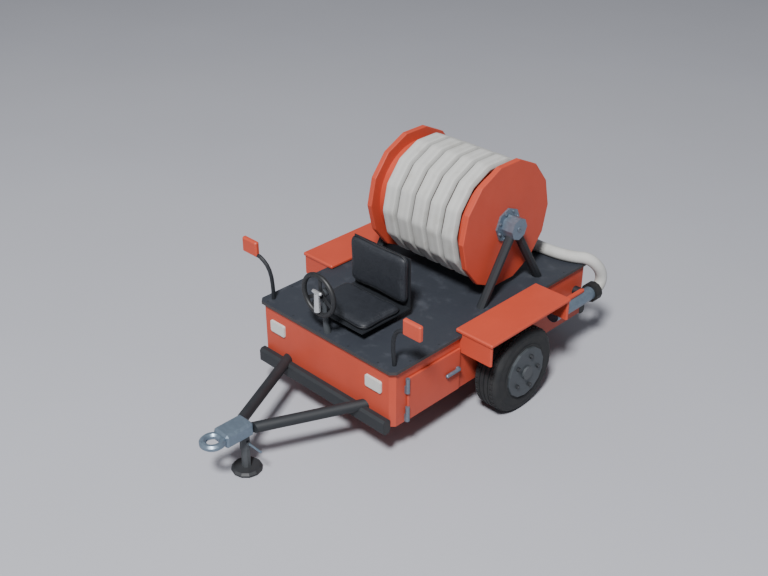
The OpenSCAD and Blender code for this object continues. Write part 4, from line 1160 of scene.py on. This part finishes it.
# ---- hose --------------------------------------------------------------------------------------
@dataclass
class WoundHose:
    """Flattened hose on the drum: each turn in its own plane, its corners on the flange's.

    Lengths here and in the classes below are in metres unless their names say otherwise.
    """

    outer_r: float = 0.378
    width: float = 0.1128
    crest: float = 0.078
    thickness: float = 0.052
    turns: int = 5
    pitch: float = 0.118
    shift: float = 0.010
    flats: int = 14
    cross_flats: int = 3
    centre: tuple[float, float] = REEL_AXLE
    fine: int = 5
    fold: float = 0.006
    hem: float = 0.002
    girth: float = 0.29
    # How far a pressed place sinks and spreads, and how blunt a turn's corners are
    sink: float = 0.0008
    spread: float = 0.001
    blunt: float = 0.0035
    # The painted groove shade starts this far below the crest and is full this much further down
    groove_start: float = 0.003
    groove_depth: float = 0.010
    crease_deg: float = 24.0

    def across(self, step: float) -> float:
        """Gives a turn's place along the axle.

        Args:
            step: How far the winding has come, in half flats.

        Returns:
            The turn's middle along X in metres.
        """
        per_turn = 2 * self.flats
        turn, done = divmod(step, per_turn)
        u = max(0.0, 1 - (per_turn - done) / (2 * self.cross_flats))
        return self.shift + self.pitch * (turn + 0.5 + u * u * (3 - 2 * u) - self.turns / 2)

    def section(self, press: float) -> list[tuple[float, float]]:
        """Draws the hose's cross-section, soft at its folds.

        Args:
            press: How hard the hose is pressed there, from 0 to 1.

        Returns:
            Pairs of place along the axle and radius.
        """
        top, low = self.outer_r - self.sink * press, self.outer_r - self.thickness
        half_c, half_w = self.crest / 2 + self.spread * press, self.width / 2
        level = (top + low) / 2
        upper = [(half_c, top), (-half_c, top), (-half_w, level)]
        lower = [(-half_c, low), (half_c, low), (half_w, level)]
        corners = np.array(upper + lower)
        shape = []
        for k, spot in enumerate(corners):
            before, after = corners[k - 1] - spot, corners[(k + 1) % 6] - spot
            ways = [w / np.linalg.norm(w) for w in (before, after)]
            start, end = (spot + self.fold * w for w in ways)
            bends = [
                (1 - t) ** 2 * start + 2 * t * (1 - t) * spot + t * t * end
                for t in (0.0, 0.33, 0.67, 1.0)
            ]
            # A point just beside each fold keeps the flat between two folds flat in the light
            bends = [start + self.hem * ways[0], *bends, end + self.hem * ways[1]]
            shape += [(float(b[0]), float(b[1])) for b in bends]
        return shape

    def build(self) -> bpy.types.Object:
        """Winds the hose.

        Returns:
            One unbroken tube with square ends.
        """
        half_flat = 180 / self.flats
        cos_flat = math.cos(math.radians(half_flat))
        last = 2 * (self.flats * self.turns - self.cross_flats)
        middle = self.outer_r - self.thickness / 2
        rings = []
        for k in range(last * self.fine + 1):
            step = k / self.fine
            # The press rises and falls along the hose, at no even distance
            shape = self.section(0.5 + 0.5 * math.sin(1.7 * step + 0.6 * math.sin(0.37 * step)))
            x0 = self.across(min(step, last - 1e-9))
            off = (step % 2) - 1
            if step <= 1 or step >= last - 1:
                mid = math.radians(half_flat * (1 if step <= 1 else last - 1))
                slide = middle * cos_flat * math.tan(math.radians(half_flat) * off)
                slide = slide if step < last else middle * math.sin(math.radians(half_flat))
                ring = [
                    (
                        x0 + x,
                        self.centre[0] + cos_flat * r * math.cos(mid) - slide * math.sin(mid),
                        self.centre[1] + cos_flat * r * math.sin(mid) + slide * math.cos(mid),
                    )
                    for x, r in shape
                ]
            else:
                angle = math.radians(half_flat * step)
                reach = cos_flat / math.cos(math.radians(half_flat) * off)
                reach = min(reach, 1.0 - self.blunt)
                y, z = reach * math.cos(angle), reach * math.sin(angle)
                ring = [(x0 + x, self.centre[0] + y * r, self.centre[1] + z * r) for x, r in shape]
            rings.append(ring)
        winding = tube("wound_hose", np.array(rings), self.girth)
        # Each point's depth below the crest, which the jacket turns into painted shade
        crest = self.outer_r - self.groove_start
        sunk = [min(1.0, max(0.0, (crest - r) / self.groove_depth)) for _, r in self.section(0.5)]
        shade_in_groove = winding.data.attributes.new("groove", "FLOAT", "POINT")
        shade_in_groove.data.foreach_set("value", np.tile(sunk, len(rings)))
        winding.data.set_sharp_from_angle(angle=math.radians(self.crease_deg))
        return winding


@dataclass
class HoseTail:
    """The hose's free end: out of the collar, over the deck's corner and in under the reel."""

    diameter: float = 0.075
    sides: int = 28
    # Heights of the middle where the hose and its coupling lie on the deck
    lie: float = DECK_TOP + 0.0375 + CLEAR
    coupling_lie: float = DECK_TOP + 0.048 + CLEAR

    def route(self) -> list[tuple[float, float, float]]:
        """Gives the middle of the hose, as the solids have it.

        Returns:
            The route's points in metres.
        """
        lie, end = self.lie * 1000, self.coupling_lie * 1000
        points = [
            (630, 1730, 445), (630, 1750, 445), (631, 1770, 449), (632, 1788, 459),
            (633, 1803, 475), (633, 1812, 496), (632, 1814, 520), (630, 1810, 544),
            (627, 1801, 567), (622, 1789, 589), (614, 1775, 610), (603, 1761, 629),
            (588, 1747, 644), (569, 1734, 654), (545, 1721, 658), (518, 1707, lie),
            (490, 1693, lie), (460, 1681, lie), (428, 1671, lie), (392, 1663, lie),
            (350, 1658, lie), (300, 1655, lie), (245, 1652, lie), (195, 1646, lie),
            (148, 1633, lie), (104, 1610, lie), (66, 1577, lie), (36, 1535, 657), (20, 1488, 660),
            (12, 1440, 664), (12, 1400, end), (12, 1365, end),
        ]
        return [(x / 1000, y / 1000 + Y_SHIFT, z / 1000) for x, y, z in points]

    def build(self, workshop: Workshop) -> bpy.types.Object:
        """Args:
            workshop: Where the piece is painted and shipped.

        Returns:
            The hose.
        """
        path = smooth_route(self.route(), 4)
        rings = round_rings(path, *carried_frames(path), self.diameter / 2, self.sides)
        piece = tube("hose_tail_jacket", rings, math.pi * self.diameter)
        workshop.ship(piece, Surface.HOSE, "trailer", ["hose_tail"])
        return piece


# ---- wheels ------------------------------------------------------------------------------------
@dataclass
class Tyre:
    """A road tyre with three grooves round its tread and cut shoulder blocks."""

    side: int
    inner_x: float = 0.560
    axle: tuple[float, float] = WHEEL_AXLE
    segments: int = 112
    blocks: int = 46
    path_points: int = 160
    block_base_r: float = 0.2668
    # Middles of the two rows of shoulder blocks, from the tyre's inner side
    block_rows: tuple[float, float] = (0.0337, 0.1403)
    crease_deg: float = 40.0

    def profile(self) -> list[tuple[float, float]]:
        """Gives the tyre's closed outline.

        Returns:
            Pairs of place from its inner side and radius, in mm.
        """
        outer = [
            (174, 142.2), (174, 164), (172.6, 167), (171, 170), (171, 176), (173.6, 180),
            (174, 186), (174, 222), (172.4, 225), (172.4, 229), (173.6, 232), (172.6, 241),
            (169, 250), (163, 258), (156, 264), (150, 266.6), (130.6, 266.9), (130, 271.4),
        ]
        tread = []
        for middle in (118, 87, 56):
            tread += [
                (middle + 5, 271.8), (middle + 4, 264), (middle - 4, 264), (middle - 5, 271.8)
            ]
        inner = [
            (44, 271.4), (43.4, 266.9), (24, 266.6), (18, 264), (11, 258), (5, 250), (1.4, 241),
            (0.4, 232), (1.6, 229), (1.6, 225), (0, 222), (0, 178), (20.2, 166), (20.2, 142.2),
        ]
        hollow = [
            (34.2, 142.2), (14, 190), (14, 236), (30, 256), (144, 256), (160, 236), (160, 142.2)
        ]
        return outer + tread + inner + hollow

    def block(self) -> bpy.types.Object:
        """Makes one shoulder block, its X around the tyre and its Z outwards.

        Returns:
            The block, at the origin.
        """
        points = [
            (sx * half_x, sy * half_y, z)
            for half_x, half_y, z in ((0.0132, 0.0095, -0.001), (0.0120, 0.0086, 0.0046))
            for sx, sy in ((-1, -1), (1, -1), (1, 1), (-1, 1))
        ]
        faces = [(3, 2, 1, 0), (4, 5, 6, 7), (0, 1, 5, 4), (1, 2, 6, 5), (2, 3, 7, 6), (3, 0, 4, 7)]
        return mesh_object("shoulder_block", points, faces, smooth=False)

    def build(self, workshop: Workshop, rows: PathRow) -> None:
        """Makes the tyre and its shoulder blocks.

        Args:
            workshop: Where the pieces are painted and shipped.
            rows: The tree that repeats the blocks.
        """
        name = "left" if self.side > 0 else "right"
        outline = [(self.side * (self.inner_x + x / 1000), r / 1000) for x, r in self.profile()]
        casing = lathe(f"tyre_casing_{name}", outline, self.segments)
        casing.data.transform(Matrix.Translation((0.0, *self.axle)))
        casing.data.set_sharp_from_angle(angle=math.radians(self.crease_deg))
        workshop.ship(casing, Surface.TYRE, f"wheel_{name}", [f"tyre_{name}"])
        turn = np.linspace(0, math.tau, self.path_points, endpoint=False)
        facing = np.stack([0 * turn, np.cos(turn), np.sin(turn)], axis=1)
        paths = []
        for x in self.block_rows:
            middle = np.array([self.side * (self.inner_x + x), *self.axle])
            paths.append((facing * self.block_base_r + middle, facing, True))
        spacing = math.tau * self.block_base_r / self.blocks
        tread = rows.lay(
            f"shoulder_blocks_{name}", paths, self.block(), spacing, workshop.paint[Surface.TYRE]
        )
        workshop.ship(tread, Surface.TYRE, f"wheel_{name}")


# ---- seat --------------------------------------------------------------------------------------
@dataclass
class SeatPad:
    """A foam pad in vinyl: a crowned face, a piped seam round it and a row of stitches."""

    name: str
    node: str
    width: float
    length: float
    thickness: float
    place: Matrix
    crown: float = 0.008
    inset: float = 0.004
    # A corner's power: 1 would make the outline round, 0 square
    squareness: float = 0.22
    bow: float = 0.004
    cap: float = 0.008
    voxel: float = 0.006
    air_frames: int = 20
    air_pressure: float = 4.0
    # How far above its own thickness the swollen pad may rise
    room_above: float = 0.003
    outline_points: int = 72
    # The seam's height as a share of the wall, how far it pulls in, and over what height
    seam_share: float = 0.62
    seam_pull: float = 0.0022
    seam_width: float = 0.004
    seam_reach: float = 0.012
    cord_r: float = 0.0036
    cord_sunk: float = 0.0012
    stitch_inset: float = 0.022
    stitch_spacing: float = 0.009

    def start_form(self) -> bpy.types.Object:
        """Makes the closed form that the air then swells, a little under size.

        Returns:
            The form, its underside at the origin.
        """
        count = self.outline_points
        body = self.thickness - self.crown
        a, b = self.width / 2 - self.inset, self.length / 2 - self.inset
        # Each layer's draw inwards from the outline, and its height
        layers = [
            (0.010, 0.0), (0.004, 0.08 * body), (0.001, 0.25 * body), (0.0, 0.5 * body),
            (0.0, 0.66 * body),
        ]
        layers += [(0.003, 0.86 * body), (0.010, body)]
        for k in range(1, 6):
            lift = self.crown * math.sin(0.5 * math.pi * k / 5.6)
            layers.append((0.010 + (min(a, b) - 0.01) * k * 0.16, body + lift))
        points = []
        for draw, z in layers:
            for k in range(count):
                t = math.tau * k / count
                c, s = math.cos(t), math.sin(t)
                x, y = (math.copysign(abs(way) ** self.squareness, way) for way in (c, s))
                reach_x = a - draw - self.bow * (1 - y * y)
                reach_y = b - draw - self.bow * (1 - x * x)
                points.append((x * reach_x, y * reach_y, z))
        faces = ring_faces(len(layers), count)
        points.append((0.0, 0.0, self.thickness))
        top = (len(layers) - 1) * count
        faces += [(top + k, top + (k + 1) % count, len(points) - 1) for k in range(count)]
        faces.append(tuple(reversed(range(count))))
        form = mesh_object(self.name, points, faces)
        voxels = form.modifiers.new("voxels", "REMESH")
        voxels.mode, voxels.voxel_size = "VOXEL", self.voxel
        return freeze(form, self.name)

    def swell(self, pad: bpy.types.Object) -> None:
        """Blows the pad up a little as cloth, and holds every point near where it began.

        Args:
            pad: The remeshed form.
        """
        rest = coordinates(pad.data)
        cloth = pad.modifiers.new("cloth", "CLOTH")
        settings = cloth.settings
        settings.quality = 5
        settings.use_pressure = True
        settings.uniform_pressure_force = self.air_pressure
        settings.effector_weights.gravity = 0.0
        cloth.collision_settings.use_collision = False
        for frame_number in range(1, self.air_frames + 1):
            bpy.context.scene.frame_set(frame_number)
        graph = bpy.context.evaluated_depsgraph_get()
        blown = coordinates(pad.evaluated_get(graph).data)
        pad.modifiers.remove(cloth)
        bpy.context.scene.frame_set(1)
        move = blown - rest
        far = np.linalg.norm(move, axis=1)
        move *= np.minimum(1.0, self.cap / np.maximum(far, 1e-9))[:, None]
        pad.data.vertices.foreach_set("co", (rest + move).ravel())
        pad.data.update()

    def girdle(self, points: np.ndarray, level: float, count: int = 180) -> np.ndarray:
        """Finds the pad's outline at a height.

        Args:
            points: The pad's vertices.
            level: The height above its underside.
            count: Points round the outline.

        Returns:
            The outline's points at that height.
        """
        near = points[np.abs(points[:, 2] - level) < self.voxel]
        angle, radius = np.arctan2(near[:, 1], near[:, 0]), np.hypot(near[:, 0], near[:, 1])
        step = math.tau / count
        reach = []
        for k in range(count):
            gap = np.abs((angle - k * step + math.pi) % math.tau - math.pi)
            reach.append(radius[gap < 1.3 * step].max())
        reach = np.array(reach)
        for _ in range(2):
            reach = 0.25 * np.roll(reach, 1) + 0.5 * reach + 0.25 * np.roll(reach, -1)
        turn = step * np.arange(count)
        return np.stack([reach * np.cos(turn), reach * np.sin(turn), np.full(count, level)], axis=1)

    def build(self, workshop: Workshop, rows: PathRow) -> None:
        """Makes the pad, its piping and its stitches.

        Args:
            workshop: Where the pieces are painted and shipped.
            rows: The tree that repeats the stitches.
        """
        pad = self.start_form()
        self.swell(pad)
        points = coordinates(pad.data)
        half = (self.width / 2, self.length / 2)
        least, most = (-half[0], -half[1], CLEAR), (*half, self.thickness + self.room_above)
        points = np.clip(points, least, most)
        seam = self.seam_share * (self.thickness - self.crown)
        pulled = self.seam_pull * np.exp(-(((points[:, 2] - seam) / self.seam_width) ** 2))
        out = points[:, :2] / np.maximum(np.abs(points[:, :2]).max(axis=1), 1e-6)[:, None]
        wall = np.abs(points[:, 2] - seam) < self.seam_reach
        points[wall, :2] -= (out * pulled[:, None])[wall]
        pad.data.vertices.foreach_set("co", points.ravel())
        finer = pad.modifiers.new("finer", "SUBSURF")
        finer.levels = finer.render_levels = 1
        pad = freeze(pad, self.name)
        for face in pad.data.polygons:
            face.use_smooth = True
        outline = self.girdle(points, seam)
        ahead = np.roll(outline, -1, axis=0) - np.roll(outline, 1, axis=0)
        ahead /= np.linalg.norm(ahead, axis=1)[:, None]
        side = np.stack([ahead[:, 1], -ahead[:, 0], 0 * ahead[:, 0]], axis=1)
        up = np.tile(UP, (len(outline), 1))
        rings = round_rings(outline - self.cord_sunk * side, side, up, self.cord_r, 12)
        piping = tube(self.name + "_piping", rings, math.tau * self.cord_r, closed=True)
        inner = outline.copy()
        scale = 1 - self.stitch_inset / np.linalg.norm(outline[:, :2], axis=1)
        inner[:, :2] *= scale[:, None]
        surface = []
        for spot in inner:
            hit, place, normal, _ = pad.ray_cast(Vector((spot[0], spot[1], 0.2)), -Vector(UP))
            surface.append(
                (tuple(place + CLEAR * normal), tuple(normal)) if hit else (tuple(spot), UP)
            )
        line = np.array([s[0] for s in surface])
        facing = np.array([s[1] for s in surface])
        for piece in (pad, piping):
            piece.data.transform(self.place)
        turned = np.array(self.place.to_3x3())
        placed = line @ turned.T + np.array(self.place.translation)
        stitches = rows.lay(
            self.name + "_stitches", [(placed, facing @ turned.T, True)], self.stitch(),
            self.stitch_spacing, workshop.paint[Surface.THREAD], smallest=0.85, seed=7,
        )
        workshop.ship(pad, Surface.VINYL, "trailer", [self.node])
        workshop.ship(piping, Surface.PIPING, "trailer")
        workshop.ship(stitches, Surface.THREAD, "trailer")

    def stitch(self) -> bpy.types.Object:
        """Makes one stitch, which arches along X; real thread is thinner than this.

        Returns:
            The stitch, at the origin.
        """
        end_z, end_r, crest_z, crest_r = -0.0004, 0.0004, 0.0003, 0.0007
        turn = np.linspace(0, math.tau, 6, endpoint=False)
        rings = [
            [(x, r * math.cos(t), z + r * math.sin(t)) for t in turn]
            for x, z, r in (
                (-0.0030, end_z, end_r), (-0.0018, crest_z, crest_r), (0.0018, crest_z, crest_r),
                (0.0030, end_z, end_r),
            )
        ]
        return tube("stitch", np.array(rings), 0.004)


# ---- small fasteners ---------------------------------------------------------------------------
@dataclass
class Fasteners:
    """The deck's countersunk screws and the bolts that hold the reel's steel plates."""

    deck_inset: float = 0.026
    corner_cut: float = 0.03
    screw_spacing: float = 0.235
    bolts: int = 8
    bolt_circle_r: float = 0.0865
    circle_points: int = 96

    def screw(self) -> bpy.types.Object:
        """Makes a countersunk screw head with a socket, its Z outwards.

        Returns:
            The head, at the origin.
        """
        head = [
            (0.0062, -0.002), (0.0062, 0.0003), (0.0056, 0.0007), (0.0026, 0.0007),
            (0.0024, -0.0015),
        ]
        return mesh_object("deck_screw", *turned_head(head, 12), smooth=False)

    def bolt(self) -> bpy.types.Object:
        """Makes a hexagon bolt head on a washer, its Z outwards.

        Returns:
            The head, at the origin.
        """
        washer = [(0.0115, -0.001), (0.0115, 0.0014), (0.0108, 0.0020)]
        hexagon = [(0.0092, 0.0015), (0.0092, 0.0066), (0.0078, 0.0078)]
        points, faces = turned_head(washer, 16)
        more_points, more_faces = turned_head(hexagon, 6, len(points))
        return mesh_object("plate_bolt", points + more_points, faces + more_faces, smooth=False)

    def build(self, workshop: Workshop, rows: PathRow) -> None:
        """Lays the deck's screws and the reel's bolts.

        Args:
            workshop: Where the pieces are painted and shipped.
            rows: The tree that repeats them.
        """
        low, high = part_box("deck_plate")
        x, y0, y1 = high.x - self.deck_inset, low.y + self.deck_inset, high.y - self.deck_inset
        cut = self.corner_cut
        near, far = [(-x + cut, y0), (x - cut, y0), (x, y0 + cut)], [(x, y1 - cut), (x - cut, y1)]
        corners = near + far + [(-x + cut, y1), (-x, y1 - cut), (-x, y0 + cut)]
        line = np.array([(a, b, DECK_TOP) for a, b in corners])
        up = np.tile(UP, (len(line), 1))
        black, steel = workshop.paint[Surface.BLACK_STEEL], workshop.paint[Surface.HUB_STEEL]
        screws = rows.lay(
            "deck_screws", [(line, up, True)], self.screw(), self.screw_spacing, black
        )
        workshop.ship(screws, Surface.BLACK_STEEL, "trailer")
        low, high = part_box("hub_plates")
        count = self.circle_points
        turn = np.linspace(0, math.tau, count, endpoint=False) + math.pi / self.bolts
        circle = [
            at + self.bolt_circle_r * way
            for at, way in zip(REEL_AXLE, (np.cos(turn), np.sin(turn)))
        ]
        paths = []
        for side, face_x in ((-1.0, low.x), (1.0, high.x)):
            ring = np.stack([np.full(count, face_x), *circle], axis=1)
            paths.append((ring, np.tile([side, 0.0, 0.0], (count, 1)), True))
        spacing = math.tau * self.bolt_circle_r / self.bolts
        bolts = rows.lay("plate_bolts", paths, self.bolt(), spacing, steel)
        workshop.ship(bolts, Surface.HUB_STEEL, "reel")


# ---- studio ------------------------------------------------------------------------------------
@dataclass
class Studio:
    """A pale floor, soft light from the photograph's side, and the photograph's camera."""

    camera_at: tuple[float, float, float] = (3.8054, -3.8191, 3.8426)
    heading: float = 134.77
    dip: float = 30.03
    lens: float = 50.0
    sensor: float = 36.0
    aim: tuple[float, float, float] = (0.0, 0.1, 0.5)
    sun_heading: float = -57.0
    sun_height: float = 53.0
    sun_distance: float = 18.0
    # Each light's width in metres and power in watts
    key: tuple[float, float] = (2.6, 5800.0)
    fill: tuple[float, float] = (5.0, 20.0)
    fill_at: tuple[float, float, float] = (-5.5, -4.0, 4.5)
    sky: str = "#d5d9e2"
    sky_strength: float = 0.33
    floor_half: float = 40.0
    floor_tones: tuple[str, str] = ("#a3a4ab", "#a9aab1")

    @staticmethod
    def way(heading: float, height: float) -> Vector:
        """Gives a direction from its angle about Z and its angle above the floor, in degrees."""
        h, d = math.radians(heading), math.radians(height)
        return Vector((math.cos(h) * math.cos(d), math.sin(h) * math.cos(d), math.sin(d)))

    @staticmethod
    def aim_along(thing: bpy.types.Object, at: Vector, way: Vector) -> None:
        """Sets a camera or light in its place, facing along a direction.

        Args:
            thing: The camera or light.
            at: Its place.
            way: The direction that it faces.
        """
        turned = way.to_track_quat("-Z", "Y").to_matrix().to_4x4()
        thing.matrix_world = Matrix.Translation(at) @ turned

    def camera(self) -> None:
        """Sets up the photograph's camera."""
        data = bpy.data.cameras.new("photograph")
        data.lens, data.sensor_width, data.sensor_fit = self.lens, self.sensor, "HORIZONTAL"
        data.clip_end = 200.0
        camera = bpy.data.objects.new("photograph", data)
        self.aim_along(camera, Vector(self.camera_at), self.way(self.heading, -self.dip))
        bpy.context.scene.collection.objects.link(camera)
        bpy.context.scene.camera = camera

    def light(self, name: str, at: Vector, size: float, power: float) -> None:
        """Adds a square soft light that faces the trailer.

        Args:
            name: The light's name.
            at: Its place.
            size: Its width in metres.
            power: Its power in watts.
        """
        data = bpy.data.lights.new(name, "AREA")
        data.shape, data.size, data.energy = "SQUARE", size, power
        lamp = bpy.data.objects.new(name, data)
        self.aim_along(lamp, at, Vector(self.aim) - at)
        bpy.context.scene.collection.objects.link(lamp)

    def build(self) -> None:
        """Makes the floor, the lights and the soft surroundings."""
        low_tone, high_tone = (linear(tone) for tone in self.floor_tones)
        far = self.floor_half
        corners = [(-far, -far, 0), (far, -far, 0), (far, far, 0), (-far, far, 0)]
        floor = mesh_object("studio_floor", corners, [(0, 1, 2, 3)], smooth=False)
        if floor.data.polygons[0].normal.z < 0:
            floor.data.flip_normals()
        paper = bpy.data.materials.new("pale_floor")
        paper.use_nodes = True
        tree = paper.node_tree
        add = partial(add_node, tree)
        shader = tree.nodes["Principled BSDF"]
        shader.inputs["Roughness"].default_value = 0.9
        place = add("ShaderNodeTexCoord").outputs["Object"]
        cloud = add("ShaderNodeTexNoise", {"Scale": 0.6, "Detail": 2.0}, {"Vector": place})
        tone = add(
            "ShaderNodeMix", {6: low_tone, 7: high_tone}, {0: cloud.outputs["Fac"]},
            data_type="RGBA",
        )
        tree.links.new(tone.outputs[2], shader.inputs["Base Color"])
        floor.data.materials.append(paper)
        sun = self.sun_distance * self.way(self.sun_heading, self.sun_height)
        self.light("key_softbox", sun, *self.key)
        self.light("fill_softbox", Vector(self.fill_at), *self.fill)
        world = bpy.data.worlds.new("soft_surroundings")
        world.use_nodes = True
        back = world.node_tree.nodes["Background"]
        back.inputs["Color"].default_value = linear(self.sky)
        back.inputs["Strength"].default_value = self.sky_strength
        bpy.context.scene.world = world


def main() -> None:
    """Builds the trailer's looks in order and reports each piece."""
    logging.basicConfig(level=logging.INFO, format="%(message)s")
    workshop = Workshop()
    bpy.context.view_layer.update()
    studio = Studio()
    studio.camera()
    HoseTail().build(workshop)
    workshop.dress_nodes()
    rows = PathRow()
    workshop.ship(WoundHose().build(), Surface.HOSE, "reel", ["hose_winding"])
    for side in (1, -1):
        Tyre(side).build(workshop, rows)
    seat = Matrix.Translation(CUSHION_AT)
    back = Matrix.Translation(BACKREST_AT) @ Matrix.Rotation(math.pi / 2, 4, "X")
    SeatPad("seat_cushion_vinyl", "seat_cushion", 0.470, 0.328, 0.040, seat).build(workshop, rows)
    SeatPad("seat_back_vinyl", "seat_back", 0.466, 0.316, 0.048, back).build(workshop, rows)
    Fasteners().build(workshop, rows)
    studio.build()
    LOG.info("pieces made here: %d", workshop.shipped)


if __name__ == "__main__":
    main()
